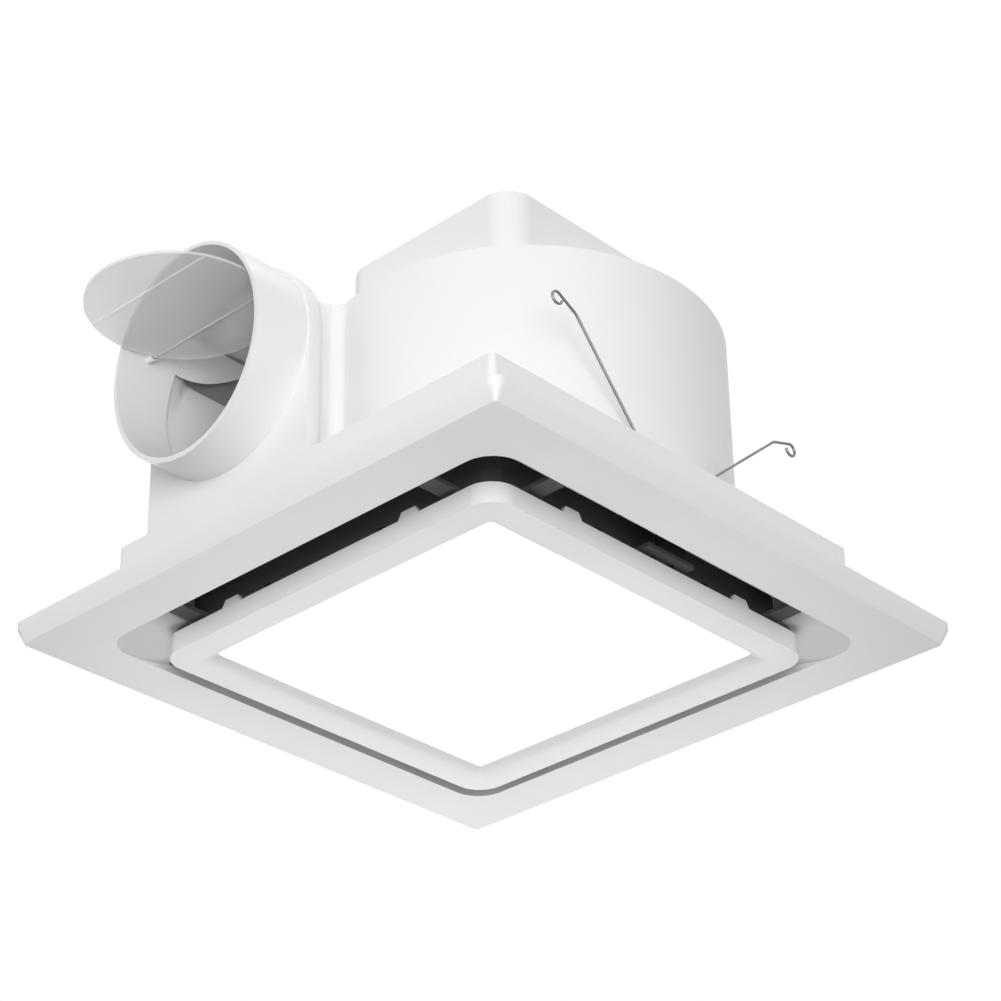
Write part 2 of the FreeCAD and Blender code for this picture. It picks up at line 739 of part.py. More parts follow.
def fan_space(name, inset, top):
    """The drum, the widening scroll and the arched outlet neck, all drawn in by an inset, up to a level."""
    height = f"({top}) - tray_top"
    drum = rod(name + "_drum", f"{DRUM} - ({inset})", height, "fan_x", "fan_y", "tray_top")
    scroll = rod(name + "_scroll", f"scroll_radius - ({inset})", height, SCROLL_X, "fan_y", "tray_top")
    quarter = block(
        name + "_quarter",
        (f"{SCROLL_X} - scroll_past", f"{SCROLL_X} + scroll_radius"),
        ("fan_y", "fan_y + scroll_radius"),
        ("tray_top", top),
    )
    bulge = common(name + "_bulge", scroll, quarter)
    return fuse(name, drum, bulge, *neck(name + "_neck", inset))


def neck(name, inset):
    """The outlet neck: an arch at its end that changes to a narrower square throat as it nears the drum."""
    right = f"neck_radius - ({inset})"

    def section(body, label, level, share):
        sketch = new_sketch(body, f"{name}_{label}", "YZ_Plane", level)
        corner = f"(neck_radius - neck_flat) * {1 - share} + shoulder_corner * {share} - ({inset})"
        top = f"(neck_level + neck_radius) * {1 - share} + house_top * {share} - ({inset})"
        left = f"(2 * neck_radius - throat_width) * {share} - neck_radius + ({inset})"
        arch_outline(sketch, left, right, corner, "tray_top", top)
        return sketch

    pieces = []
    for label, share, start, end in (
        ("mouth", 0, f"-neck_reach + ({inset})", "-crown_start"),
        ("root", 1, "-crown_end", SCROLL_X),
    ):
        body = new_body(f"{name}_{label}_body")
        pad = body.newObject("PartDesign::Pad", f"{name}_{label}_pad")
        pad.Profile = section(body, label, start, share)
        bind(pad, Length=f"{end} - ({start})")
        pieces.append(put(body, y=NECK_Y))
    body = new_body(f"{name}_crown_body")
    sketches = []
    for k in range(5):
        run = k / 4
        level = f"-crown_start + {run} * (crown_start - crown_end)"
        sketches.append(section(body, f"crown{k}", level, run**2 * (3 - 2 * run)))
    loft = body.newObject("PartDesign::AdditiveLoft", f"{name}_crown_loft")
    loft.Profile = sketches[0]
    loft.Sections = sketches[1:]
    loft.Ruled = True
    pieces.append(put(body, y=NECK_Y))
    return pieces


def make_fan_house():
    """The moulded scroll house that stands on the tray, with its lugs, posts and outlet wall."""
    outer = fan_space("house_outer", "0", "house_top")
    inner = fan_space("house_inner", "house_wall", HOUSE_ROOF)
    below = block(
        "house_below",
        ("-2 * neck_reach", "2 * neck_reach"),
        ("-2 * neck_reach", "2 * neck_reach"),
        ("tray_top - 2 * neck_radius", "tray_top"),
    )
    root_y = f"({THROAT_Y} - tongue_radius + tongue_bite)"
    root_reach = f"({DRUM} + tongue_radius - tongue_bite)"
    root_x = f"(fan_x - sqrt({root_reach}^2 - ({root_y} - fan_y)^2))"
    fillet_block = block(
        "house_tongue_block",
        (root_x, f"{root_x} + tongue_radius + 2 * house_wall"),
        (root_y, f"{root_y} + tongue_radius"),
        ("tray_top", "house_top"),
    )
    fillet_height = "house_top - tray_top"
    fillet_round = rod("house_tongue_round", "tongue_radius", fillet_height, root_x, root_y, "tray_top")
    tongue = cut("house_tongue", fillet_block, fillet_round)
    bore = rod(
        "house_bore",
        f"{SPIGOT} + fit_gap",
        "3 * house_wall",
        "-neck_reach + 2 * house_wall",
        NECK_Y,
        "neck_level",
        TO_DUCT,
    )
    groove = rod(
        "house_groove",
        f"{SPIGOT} + catch_height + seat_gap",
        "spigot_length - house_wall + seat_gap",
        "-neck_reach + spigot_length + seat_gap",
        NECK_Y,
        "neck_level",
        TO_DUCT,
    )
    lugs = []
    holes = [inner, below, bore, groove]
    screws = []
    for i, (x, y) in enumerate(volute_screw_places()):
        lugs.append(rod(f"house_lug{i}", "lug_radius", "lug_height", x, y, "tray_top"))
        holes.append(pilot(f"house_lug_hole{i}", x, y, "tray_top", "tray_top + lug_height"))
        screws.append(screw(f"house_screw{i}", x, y, "tray_top + lug_height", "lug_height + tray_wall"))
    posts = []
    for i, (x, y) in enumerate(cover_post_places()):
        posts.append(rod(f"house_post{i}", "post_radius", "cover_height - cover_wall", x, y, "house_top"))
        post_top = f"{COVER_TOP} - cover_wall"
        holes.append(pilot(f"house_post_pilot{i}", x, y, f"{post_top} - 3 * screw_bite", post_top))
    for i, (x, y) in enumerate(motor_mount_places()):
        holes.append(pilot(f"house_motor_hole{i}", x, y, HOUSE_ROOF, "house_top - house_wall / 4"))
    holes.append(rod("house_wire_hole", "gland_bore", "2 * house_wall", "fan_x", "fan_y", HOUSE_ROOF))
    whole = fuse("house_whole", outer, tongue, *lugs, *posts)
    keep(cut("volute_shell_cut", whole, *holes), "volute_shell")
    keep(group("house_screw_set", *screws), "volute_screws")


def cover_post_places():
    """The four posts inside the wiring cover, as expressions."""
    for x in SIGNS:
        for y in SIGNS:
            across = f"cover_mid_x + {x} * (cover_half_x - post_inset)"
            yield across, f"cover_mid_y + {y} * (cover_half_y - post_inset)"


def motor_mount_places():
    """Four places round the motor plate, as expressions."""
    for angle in (45, 135, 225, 315):
        yield f"fan_x + mount_circle * cos({angle})", f"fan_y + mount_circle * sin({angle})"


def make_wiring_cover():
    """The box on top of the fan house with its terminal block, capacitor and cable gland."""
    place = {"x": "cover_mid_x", "y": "cover_mid_y"}
    halves = ("cover_half_x", "cover_half_y")
    shell = plate("cover_block", halves[0], "cover_corner", "house_top", COVER_TOP, halves[1], **place)
    hollow = plate(
        "cover_hollow",
        "cover_half_x - cover_wall",
        "cover_corner - cover_wall",
        "house_top - cover_wall",
        f"{COVER_TOP} - cover_wall",
        "cover_half_y - cover_wall",
        **place,
    )
    wall = "cover_mid_x + cover_half_x"
    level = "house_top + gland_rise"
    entry = (f"{wall} - 1.5 * cover_wall", "cover_mid_y", level, ALONG_X)
    holes = [rod("cover_gland_hole", "gland_radius + fit_gap", "2 * cover_wall", *entry)]
    screws = []
    for i, (x, y) in enumerate(cover_post_places()):
        holes.append(pilot(f"cover_hole{i}", x, y, f"{COVER_TOP} - cover_wall", COVER_TOP))
        screws.append(screw(f"cover_screw{i}", x, y, COVER_TOP, "cover_wall + 2 * screw_bite"))
    keep(cut("wiring_cover_cut", shell, hollow, *holes), "wiring_cover")
    keep(group("cover_screw_set", *screws), "wiring_cover_screws")
    base = rod("gland_base", "gland_hex", "gland_length / 3", wall, "cover_mid_y", level, ALONG_X)
    dome = turned(
        "gland_dome",
        [("0", "0"), ("gland_hex - 1", "0"), ("gland_hex - 1", "gland_length / 3"),
         ("gland_bore + 1.5", "gland_length * 2 / 3"), ("0", "gland_length * 2 / 3")],
        f"{wall} + gland_length / 3", "cover_mid_y", level, ALONG_X)
    thread_length = "cover_wall + 2 * screw_bite"
    thread_place = (f"{wall} - ({thread_length})", "cover_mid_y", level, ALONG_X)
    thread = rod("gland_thread", "gland_radius", thread_length, *thread_place)
    bore = rod("gland_bore_cut", "gland_bore", f"gland_length + {thread_length}", *thread_place)
    keep(cut("cable_gland_cut", fuse("gland_whole", base, dome, thread), bore), "cable_gland")
    nut_start = f"{wall} - cover_wall - screw_bite"
    nut = hex_prism("gland_nut_block", "gland_hex", "screw_bite", nut_start, "cover_mid_y", level, ALONG_X)
    bore_place = (f"{nut_start} - screw_bite", "cover_mid_y", level, ALONG_X)
    nut_bore = rod("gland_nut_bore", "gland_radius + fit_gap", "2 * screw_bite", *bore_place)
    keep(cut("gland_nut_cut", nut, nut_bore), "gland_nut")
    can = turned(
        "capacitor_can",
        [("0", "0"), ("capacitor_radius", "0"), ("capacitor_radius", "capacitor_height - 2"),
         ("capacitor_radius - 2", "capacitor_height"), ("0", "capacitor_height")],
        "cover_mid_x + cover_half_x / 3", "cover_mid_y - cover_half_y / 2", "house_top")
    keep(can, "capacitor")
    block_x, block_y = "cover_mid_x - cover_half_x / 3", "cover_mid_y + cover_half_y / 3"
    body = plate("terminal_body", "block_length / 2", "fit_gap + 1", "house_top", "house_top + block_height",
                 "block_width / 2", block_x, block_y)
    recesses = []
    screws = []
    for i, step in enumerate((-1, 0, 1)):
        for side in SIGNS:
            x = f"{block_x} + {step} * block_length * 0.3"
            y = f"{block_y} + {side} * block_width / 4"
            top = "house_top + block_height"
            name = f"{i}_{side + 1}"
            recesses.append(pilot(f"terminal_hole{name}", x, y, f"{top} - 2 * screw_bite", top, "screw_head"))
            screws.append(screw(f"terminal_screw{name}", x, y, f"{top} - screw_bite", "screw_bite"))
    keep(cut("terminal_block_cut", body, *recesses), "terminal_block")
    keep(group("terminal_screw_set", *screws), "terminal_screws")


def hex_prism(name, radius, length, x, y, z, turn=None):
    """A six-sided bar across its corners."""
    prism = doc.addObject("Part::Prism", name)
    prism.Polygon = 6
    bind(prism, Circumradius=radius, Height=length)
    return put(prism, x, y, z, turn)


def make_inlet():
    """The bell mouth under the fan."""
    low = f"{TRAY_ROOF} - inlet_wall"
    throat_low = f"{TRAY_ROOF} + inlet_height * 0.6"
    profile = [
        ("inlet_mouth", low),
        ("inlet_flange", low),
        ("inlet_flange", TRAY_ROOF),
        ("inlet_mouth + inlet_wall * 0.5", TRAY_ROOF),
        ("inlet_throat + inlet_wall", throat_low),
        ("inlet_throat + inlet_wall", "tray_top + inlet_height"),
        ("inlet_throat", "tray_top + inlet_height"),
        ("inlet_throat", throat_low),
    ]
    bell = turned("inlet_bell", profile, "fan_x", "fan_y")
    holes = []
    screws = []
    for i, (x, y) in enumerate(inlet_screw_places()):
        holes.append(pilot(f"inlet_hole{i}", x, y, low, TRAY_ROOF))
        screws.append(screw(f"inlet_screw{i}", x, y, low, "inlet_wall + tray_wall", points_up=True))
    keep(cut("inlet_ring_cut", bell, *holes), "inlet_ring")
    keep(group("inlet_screw_set", *screws), "inlet_screws")


def make_motor():
    """The motor hung from the roof on rubber mounts: its cans, stator, bearings, rotor and shaft."""
    plate_ring = tube("motor_plate_disc", "plate_radius", "gland_bore", CAN_TOP, PLATE_TOP, "fan_x", "fan_y")
    holes = []
    mounts = []
    screws = []
    for i, (x, y) in enumerate(motor_mount_places()):
        holes.append(pilot(f"motor_plate_hole{i}", x, y, CAN_TOP, PLATE_TOP))
        mount_bore = "screw_shank + fit_gap"
        mounts.append(tube(f"motor_mount{i}", "mount_radius", mount_bore, PLATE_TOP, HOUSE_ROOF, x, y))
        bite = "plate_thick + mount_height + house_wall / 2"
        screws.append(screw(f"motor_screw{i}", x, y, CAN_TOP, bite, points_up=True))
    keep(cut("motor_plate_cut", plate_ring, *holes), "motor_plate")
    keep(group("motor_mount_set", *mounts), "rubber_mounts")
    keep(group("motor_screw_set", *screws), "motor_screws")
    nest = "bearing_radius + fit_gap"
    axle_hole = "shaft_radius + 0.5"
    upper = [
        (axle_hole, CAN_TOP),
        (axle_hole, f"{CAN_TOP} - can_wall"),
        (nest, f"{CAN_TOP} - can_wall"),
        (nest, f"{CAN_TOP} - can_wall - boss_height"),
        (f"{nest} + boss_wall", f"{CAN_TOP} - can_wall - boss_height"),
        (f"{nest} + boss_wall", f"{CAN_TOP} - can_wall"),
        ("can_radius - can_wall", f"{CAN_TOP} - can_wall"),
        ("can_radius - can_wall", CAN_JOINT),
        ("can_radius", CAN_JOINT),
        ("can_radius", CAN_TOP),
    ]
    keep(turned("upper_can", upper, "fan_x", "fan_y"), "motor_upper_can")
    lower = [
        (axle_hole, CAN_LOW),
        (axle_hole, f"{CAN_LOW} + can_wall"),
        (nest, f"{CAN_LOW} + can_wall"),
        (nest, f"{CAN_LOW} + can_wall + boss_height"),
        (f"{nest} + boss_wall", f"{CAN_LOW} + can_wall + boss_height"),
        (f"{nest} + boss_wall", f"{CAN_LOW} + can_wall"),
        ("can_radius - can_wall", f"{CAN_LOW} + can_wall"),
        ("can_radius - can_wall", CAN_JOINT),
        ("can_radius", CAN_JOINT),
        ("can_radius", CAN_LOW),
    ]
    keep(turned("lower_can", lower, "fan_x", "fan_y"), "motor_lower_can")
    running = "shaft_radius + fit_gap"
    seat = f"{CAN_TOP} - can_wall - bearing_height"
    ring = ("bearing_radius", running)
    keep(tube("upper_bearing", *ring, seat, f"{seat} + bearing_height", "fan_x", "fan_y"), "bearing_upper")
    seat = f"{CAN_LOW} + can_wall"
    keep(tube("lower_bearing", *ring, seat, f"{seat} + bearing_height", "fan_x", "fan_y"), "bearing_lower")
    middle = f"({CAN_TOP} + {CAN_LOW}) / 2"
    low, high = f"{middle} - stator_height / 2", f"{middle} + stator_height / 2"
    core_outer = "can_radius - can_wall - fit_gap"
    keep(tube("stator_ring", core_outer, "stator_inner", low, high, "fan_x", "fan_y"), "stator_core")
    coils = [
        tube("coil_above", "coil_outer", "coil_inner", high, f"{high} + coil_height", "fan_x", "fan_y"),
        tube("coil_below", "coil_outer", "coil_inner", f"{low} - coil_height", low, "fan_x", "fan_y"),
    ]
    keep(group("coil_set", *coils), "stator_coils")
    rotor = (f"{middle} - rotor_height / 2", f"{middle} + rotor_height / 2")
    keep(tube("rotor_ring", "stator_inner - 0.5", "shaft_radius", *rotor, "fan_x", "fan_y"), "rotor_core")
    low = "wheel_level - hub_depth - washer_thick - nut_height - shaft_end / 2"
    high = f"{CAN_TOP} - can_wall"
    keep(rod("shaft_rod", "shaft_radius", f"{high} - ({low})", "fan_x", "fan_y", low), "motor_shaft")


def make_impeller():
    """The squirrel-cage wheel: a back plate with a hub, forward-curved blades and an end ring."""
    body = new_body("impeller_body")
    revolve(
        body,
        "impeller_back",
        [
            ("shaft_radius", "wheel_level"),
            ("shaft_radius", "wheel_level - hub_depth"),
            ("hub_radius", "wheel_level - hub_depth"),
            ("hub_radius", "wheel_level - wheel_plate"),
            ("wheel_radius", "wheel_level - wheel_plate"),
            ("wheel_radius", "wheel_level"),
        ],
    )
    sketch = new_sketch(body, "blade_outline", "XY_Plane", "wheel_level - wheel_depth")
    blade_outline(sketch)
    blade = body.newObject("PartDesign::Pad", "blade_pad")
    blade.Profile = sketch
    bind(blade, Length="wheel_depth - wheel_plate / 2")
    doc.recompute()
    pattern = body.newObject("PartDesign::PolarPattern", "blade_pattern")
    pattern.Originals = [blade]
    pattern.Axis = (next(f for f in body.Origin.OriginFeatures if f.Role == "Z_Axis"), [""])
    pattern.Angle = 360
    bind(pattern, Occurrences="blade_count")
    body.Tip = pattern
    doc.recompute()
    low = "wheel_level - wheel_depth"
    revolve(
        body,
        "impeller_end",
        [("blade_inner", low), ("wheel_radius", low), ("wheel_radius", f"{low} + wheel_ring"),
         ("blade_inner", f"{low} + wheel_ring")],
    )
    keep(put(body, "fan_x", "fan_y"), "impeller_wheel")
    top = "wheel_level - hub_depth"
    keep(tube("washer_ring", "washer_radius", "shaft_radius", f"{top} - washer_thick", top, "fan_x", "fan_y"),
         "impeller_washer")
    nut = hex_prism("shaft_nut_block", "nut_radius", "nut_height", "fan_x", "fan_y",
                    f"{top} - washer_thick - nut_height")
    bore = rod("shaft_nut_bore", "shaft_radius", "2 * nut_height", "fan_x", "fan_y",
               f"{top} - washer_thick - 1.5 * nut_height")
    keep(cut("shaft_nut_cut", nut, bore), "impeller_nut")


def blade_outline(sketch):
    """One blade's section: two arcs of a set curve between the inner and outer edge of the blade ring."""
    inner = ("blade_inner + blade_thick", "0")
    outer = ("wheel_radius - blade_thick", "blade_sweep")
    corners = [
        (inner[0], inner[1]),
        (outer[0], outer[1]),
        (f"{outer[0]} - blade_thick * 0.7", f"{outer[1]} + blade_thick * 0.7"),
        (f"{inner[0]} - blade_thick * 0.2", f"{inner[1]} + blade_thick"),
    ]
    points = [Vector(size(x), size(y), 0) for x, y in corners]
    curve = size("blade_curve")
    arcs = [bowed(points[0], points[1], curve), bowed(points[3], points[2], curve)]
    tip = Part.LineSegment(points[1], points[2])
    root = Part.LineSegment(points[3], points[0])
    for shape in (arcs[0], tip, arcs[1], root):
        sketch.addGeometry(shape)
    for geometry, point, corner in ((0, 1, 0), (0, 2, 1), (2, 2, 2), (2, 1, 3)):
        corner_measures(sketch, geometry, point, f"blade{corner}", *corners[corner])
    for first, second in (((0, 2), (1, 1)), ((1, 2), (2, 2)), ((2, 1), (3, 1)), ((3, 2), (0, 1))):
        sketch.addConstraint(Sketcher.Constraint("Coincident", *first, *second))
    measure(sketch, "Radius", "curve_below", "blade_curve", 0)
    measure(sketch, "Radius", "curve_above", "blade_curve", 2)


def bowed(start, end, radius):
    """The counter-clockwise arc of a radius from one point to another."""
    chord = end - start
    half = chord.Length / 2
    side = Vector(-chord.y, chord.x, 0) / chord.Length
    middle = (start + end) / 2 + side * math.sqrt(radius**2 - half**2)
    angles = [math.atan2(p.y - middle.y, p.x - middle.x) for p in (start, end)]
    return Part.ArcOfCircle(Part.Circle(middle, Vector(0, 0, 1), radius), *angles)


def make_duct():
    """The round duct collar with its snap catches, and the damper flap that hangs on a pin across it."""
    full_length = f"collar_length + 1.2 * {COLLAR_RADIUS} * tan(mouth_tilt)"
    profile = [
        (COLLAR_INNER, full_length),
        (f"{COLLAR_RADIUS} - lead_in", full_length),
        (COLLAR_RADIUS, "collar_straight"),
        (COLLAR_RADIUS, "0"),
        (SPIGOT, "0"),
        (SPIGOT, "-spigot_length"),
        (f"{SPIGOT} - spigot_wall", "-spigot_length"),
        (f"{SPIGOT} - spigot_wall", "0"),
    ]
    pipe = turned("collar_pipe", profile, "-neck_reach", NECK_Y, "neck_level", TO_DUCT)
    barrel_half = "sqrt(flap_radius^2 - flap_offset^2)"
    boss_start = f"({barrel_half} + hinge_boss_gap)"
    pin_half = f"({boss_start} + pin_bite)"
    hole_half = f"({pin_half} + 4 * fit_gap)"
    hole = rod(
        "collar_pin_hole",
        "pin_radius + fit_gap",
        f"2 * {hole_half}",
        HINGE_X,
        f"{NECK_Y} - {hole_half}",
        HINGE_Z,
        ALONG_Y,
    )
    bar_start = f"{NECK_Y} - neck_radius"
    across = rod("collar_boss_rod", "hinge_boss", "2 * neck_radius", HINGE_X, bar_start, HINGE_Z, ALONG_Y)
    trim_radius = f"{COLLAR_RADIUS} - collar_wall / 2"
    trim = rod("collar_boss_trim", trim_radius, "collar_length", "-neck_reach", NECK_Y, "neck_level", TO_DUCT)
    between = block(
        "collar_boss_between",
        (f"{HINGE_X} - 2 * hinge_boss", f"{HINGE_X} + 2 * hinge_boss"),
        (f"{NECK_Y} - {boss_start}", f"{NECK_Y} + {boss_start}"),
        (f"{HINGE_Z} - 2 * hinge_boss", f"{HINGE_Z} + 2 * hinge_boss"),
    )
    bosses = cut("collar_bosses", common("collar_boss_trimmed", across, trim), between)
    catch_low = "-house_wall - fit_gap"
    catch_ring = turned(
        "collar_catch_ring",
        [
            (f"{SPIGOT} - spigot_wall / 2", catch_low),
            (f"{SPIGOT} + catch_height", catch_low),
            (SPIGOT, "-spigot_length"),
            (f"{SPIGOT} - spigot_wall / 2", "-spigot_length"),
        ],
        "-neck_reach",
        NECK_Y,
        "neck_level",
        TO_DUCT,
    )
    bars = []
    for i, turn in enumerate((45, 135)):
        bar = doc.addObject("Part::Box", f"collar_catch_bar{i}")
        bind(bar, Length="2 * spigot_length", Width="catch_width", Height="4 * neck_radius")
        angle = math.radians(turn)
        y = f"{NECK_Y} - catch_width / 2 * {math.cos(angle)} + 2 * neck_radius * {math.sin(angle)}"
        z = f"neck_level - catch_width / 2 * {math.sin(angle)} - 2 * neck_radius * {math.cos(angle)}"
        bars.append(put(bar, "-neck_reach", y, z, Rotation(Vector(1, 0, 0), turn)))
    catches = common("collar_catches", catch_ring, fuse("collar_bars", *bars))
    whole = fuse("collar_whole", pipe, catches, bosses)
    keep(cut("duct_collar_cut", whole, hole, mouth_trim()), "duct_collar")
    disc_low = f"{HINGE_Z} - flap_thick / 2"
    disc = rod("flap_disc", "flap_radius", "flap_thick", f"{HINGE_X} - flap_offset", NECK_Y, disc_low)
    barrel = rod(
        "flap_barrel",
        "barrel_radius",
        f"2 * {barrel_half}",
        HINGE_X,
        f"{NECK_Y} - {barrel_half}",
        HINGE_Z,
        ALONG_Y,
    )
    rib_half = "(sqrt(flap_radius^2 - (flap_rib_reach - flap_offset)^2) - flap_rib)"
    rib = rod(
        "flap_rib_rod",
        "flap_rib",
        f"2 * {rib_half}",
        f"{HINGE_X} - flap_rib_reach",
        f"{NECK_Y} - {rib_half}",
        disc_low,
        ALONG_Y,
    )
    bore = rod("flap_bore", "pin_radius", "2 * neck_radius", HINGE_X, bar_start, HINGE_Z, ALONG_Y)
    keep(cut("damper_flap_cut", fuse("flap_whole", disc, barrel, rib), bore), "damper_flap")
    pin_place = (HINGE_X, f"{NECK_Y} - {pin_half}", HINGE_Z, ALONG_Y)
    keep(rod("damper_pin_rod", "pin_radius", f"2 * {pin_half}", *pin_place), "damper_pin")


def mouth_trim():
    """The block whose face is the slanted mouth of the collar."""
    trim = doc.addObject("Part::Box", "collar_mouth_trim")
    bind(trim, Length="neck_radius", Width="4 * neck_radius", Height="4 * neck_radius")
    lean = math.radians(size("mouth_turn"))
    turn = Rotation(Vector(0, -math.cos(lean), -math.sin(lean)), size("mouth_tilt"))
    corner = turn.multVec(Vector(-1, -2, -2))
    x = f"-neck_reach - collar_length + neck_radius * ({corner.x})"
    y = f"{NECK_Y} + neck_radius * ({corner.y})"
    z = f"neck_level + neck_radius * ({corner.z})"
    return put(trim, x, y, z, turn)


def bracket_screw_places():
    """Two screws in the foot of each spring bracket, as expressions."""
    for end in SIGNS:
        for side in SIGNS:
            x = f"{-end} * spring_x + {side} * bracket_width / 3"
            yield x, f"{end} * ({BRACKET_FACE} - bracket_foot * 0.6)"


def make_brackets():
    """The two steel angles on the carrier that hold the springs' pivots."""
    pivots = []
    screws = []
    seat = f"{ARM_TOP} + bracket_thick"
    for end, label in zip(SIGNS, ("front", "rear")):
        middle = f"({-end} * spring_x)"
        width = (f"{middle} - bracket_width / 2", f"{middle} + bracket_width / 2")
        y = sorted((f"{end} * ({BRACKET_FACE} - bracket_thick)", f"{end} * {BRACKET_FACE}"), key=size)
        upright = block(f"bracket_upright_{label}", width, y, (ARM_TOP, "coil_level + 2 * pivot_radius"))
        y = sorted((f"{end} * ({BRACKET_FACE} - bracket_foot)", f"{end} * {BRACKET_FACE}"), key=size)
        foot = block(f"bracket_foot_{label}", width, y, (ARM_TOP, seat))
        holes = []
        for i, (x, place) in enumerate(bracket_screw_places()):
            if size(place) * end > 0:
                holes.append(pilot(f"bracket_hole{i}", x, place, ARM_TOP, seat))
                bite = "bracket_thick + arm_thick"
                screws.append(screw(f"bracket_screw{i}", x, place, seat, bite, head="2 * screw_shank * 0.9"))
        inner = f"({BRACKET_FACE} - 2 * bracket_thick)"
        tip = "(tray_half - tray_wall - seat_gap)"
        turn = ALONG_Y if end > 0 else Rotation(Vector(1, 0, 0), 90)
        cap_place = (middle, f"{end} * {inner}", "coil_level", turn)
        hole = rod(f"bracket_pivot_hole_{label}", "pivot_radius", "3 * bracket_thick", *cap_place)
        bracket = cut(f"bracket_cut_{label}", fuse(f"bracket_whole_{label}", upright, foot), hole, *holes)
        keep(bracket, f"spring_bracket_{label}")
        shank_length = f"{tip} - {BRACKET_FACE} + bracket_thick"
        shank_place = (middle, f"{end} * ({BRACKET_FACE} - bracket_thick)", "coil_level", turn)
        shank = rod(f"pivot_shank_{label}", "pivot_radius", shank_length, *shank_place)
        cap = rod(f"pivot_cap_{label}", "pivot_radius * 1.4", "bracket_thick", *cap_place)
        pivots.append(fuse(f"pivot_{label}", shank, cap))
    keep(group("pivot_set", *pivots), "spring_pivots")
    keep(group("bracket_screw_set", *screws), "bracket_screws")


def biarc(start, start_way, end, end_way):
    """Two arcs that leave one point and reach another along given directions."""
    span = end - start
    ways = start_way + end_way
    spread = 2 * (1 - start_way.dot(end_way))
    reach = (-span.dot(ways) + math.sqrt(span.dot(ways) ** 2 + spread * span.dot(span))) / spread
    middle = (start + end + (start_way - end_way) * reach) / 2
    first = tangent_arc(start, start + start_way * reach, middle)
    return [first, tangent_arc(middle, end - end_way * reach, end)]


def tangent_arc(start, meeting, end):
    """The arc that touches two equal lines where they end, given the point where they meet."""
    chord_middle = (start + end) / 2
    reach = (start - meeting).Length
    inward = chord_middle - meeting
    cosine = inward.Length / reach
    sine = math.sqrt(1 - cosine**2)
    crest = meeting + inward * (reach * (1 - sine) / cosine / inward.Length)
    return Part.Arc(start, crest, end)


def leg_path(side, middle, plane, inward, lean):
    """A spring leg's line: one turn of the coil, the straight leg, a bend, a short tail and a hook."""
    radius, pitch = size("coil_radius"), size("coil_pitch")
    slope = math.atan2(pitch, 2 * math.pi * radius)

    def point(across, along, up):
        return Vector(middle + side * across, plane + inward * along, size("coil_level") + up)

    def way(across, along, up):
        return Vector(side * across, inward * along, up).normalize()

    quarters = 4
    stations = []
    for i in range(quarters + 1):
        turn = -lean - (quarters - i) * math.pi / 2
        lead = slope if i < quarters else 0
        place = point(radius * math.cos(turn), pitch * (quarters - i) / quarters, radius * math.sin(turn))
        heading = way(-math.sin(turn) * math.cos(lead), -math.sin(lead), math.cos(turn) * math.cos(lead))
        stations.append((place, heading))
    edges = []
    for (start, start_way), (end, end_way) in zip(stations, stations[1:]):
        edges += biarc(start, start_way, end, end_way)
    place, heading = stations[-1]
    turns = ((size("leg_length"), size("tail_radius"), size("tail_turn")),
             (size("tail_length"), size("hook_radius"), size("hook_turn")))
    angle = lean
    for run, bend_radius, bend in turns:
        end = place + heading * run
        edges.append(Part.LineSegment(place, end))
        crook = Vector(side * math.cos(angle), 0, -math.sin(angle)) * bend_radius + end
        angles = [angle + math.radians(bend) * share for share in (0, 0.5, 1)]
        arc = [crook - Vector(side * math.cos(a), 0, -math.sin(a)) * bend_radius for a in angles]
        edges.append(Part.Arc(*arc))
        angle = angles[-1]
        place = arc[-1]
        heading = Vector(side * math.sin(angle), 0, math.cos(angle))
    return edges


def wire_gap(edges, wire_radius):
    """The least gap between stretches of a wire that lie well apart along it."""
    samples = []
    travelled = 0.0
    for edge in edges:
        length = edge.length()
        count = max(4, math.ceil(length / wire_radius))
        first, last = edge.FirstParameter, edge.LastParameter
        for i in range(count):
            samples.append((travelled + length * i / count, edge.value(first + (last - first) * i / count)))
        travelled += length
    apart = 6 * wire_radius
    gaps = [(p - q).Length for i, (s, p) in enumerate(samples) for t, q in samples[:i] if s - t > apart]
    return min(gaps) - 2 * wire_radius


def make_springs():
    """The four wire legs of the two V springs, each with its half of the coil."""
    radius = size("wire_radius")
    for end, label in zip(SIGNS, ("front", "rear")):
        for side, name in zip(SIGNS, ("left", "right")):
            outer = side * end < 0
            plane = end * size(SPRING_OUTER if outer else SPRING_INNER)
            lean = math.radians(size(OUTER_LEAN if outer else INNER_LEAN))
            inward = -end if outer else end
            edges = leg_path(side, -end * size("spring_x"), plane, inward, lean)
            path = Part.Wire([edge.toShape() for edge in edges])
            start = edges[0].value(edges[0].FirstParameter)
            start_way = edges[0].tangent(edges[0].FirstParameter)[0]
            section = Part.Wire([Part.Circle(start, start_way, radius).toShape()])
            leg = doc.addObject("Part::Feature", f"leg_{label}_{name}")
            leg.Shape = path.makePipeShell([section], True, False)
            expected = math.pi * radius**2 * path.Length
            print(f"spring leg {label} {name}: gap {wire_gap(edges, radius):.2f} mm,"
                  f" volume {leg.Shape.Volume / expected:.4f} of section times length")
            keep(leg, f"spring_leg_{label}_{name}")


def write_parts():
    """Check every object and write each sub-part to its own file."""
    doc.recompute()
    for thing in doc.Objects:
        if "Invalid" in thing.State or "Error" in thing.State:
            raise RuntimeError(f"{thing.Label} failed: {thing.State}")
    for node in nodes:
        if node.Shape.isNull() or not node.Shape.isValid() or not node.Shape.Solids:
            raise RuntimeError(f"{node.Label} has no sound solid")
    os.makedirs("parts", exist_ok=True)
    for node in nodes:
        node.Shape.exportStep(f"parts/{node.Label}.step")
        print(f"{node.Label}: {len(node.Shape.Solids)} solids, {node.Shape.Volume:.0f} mm3")


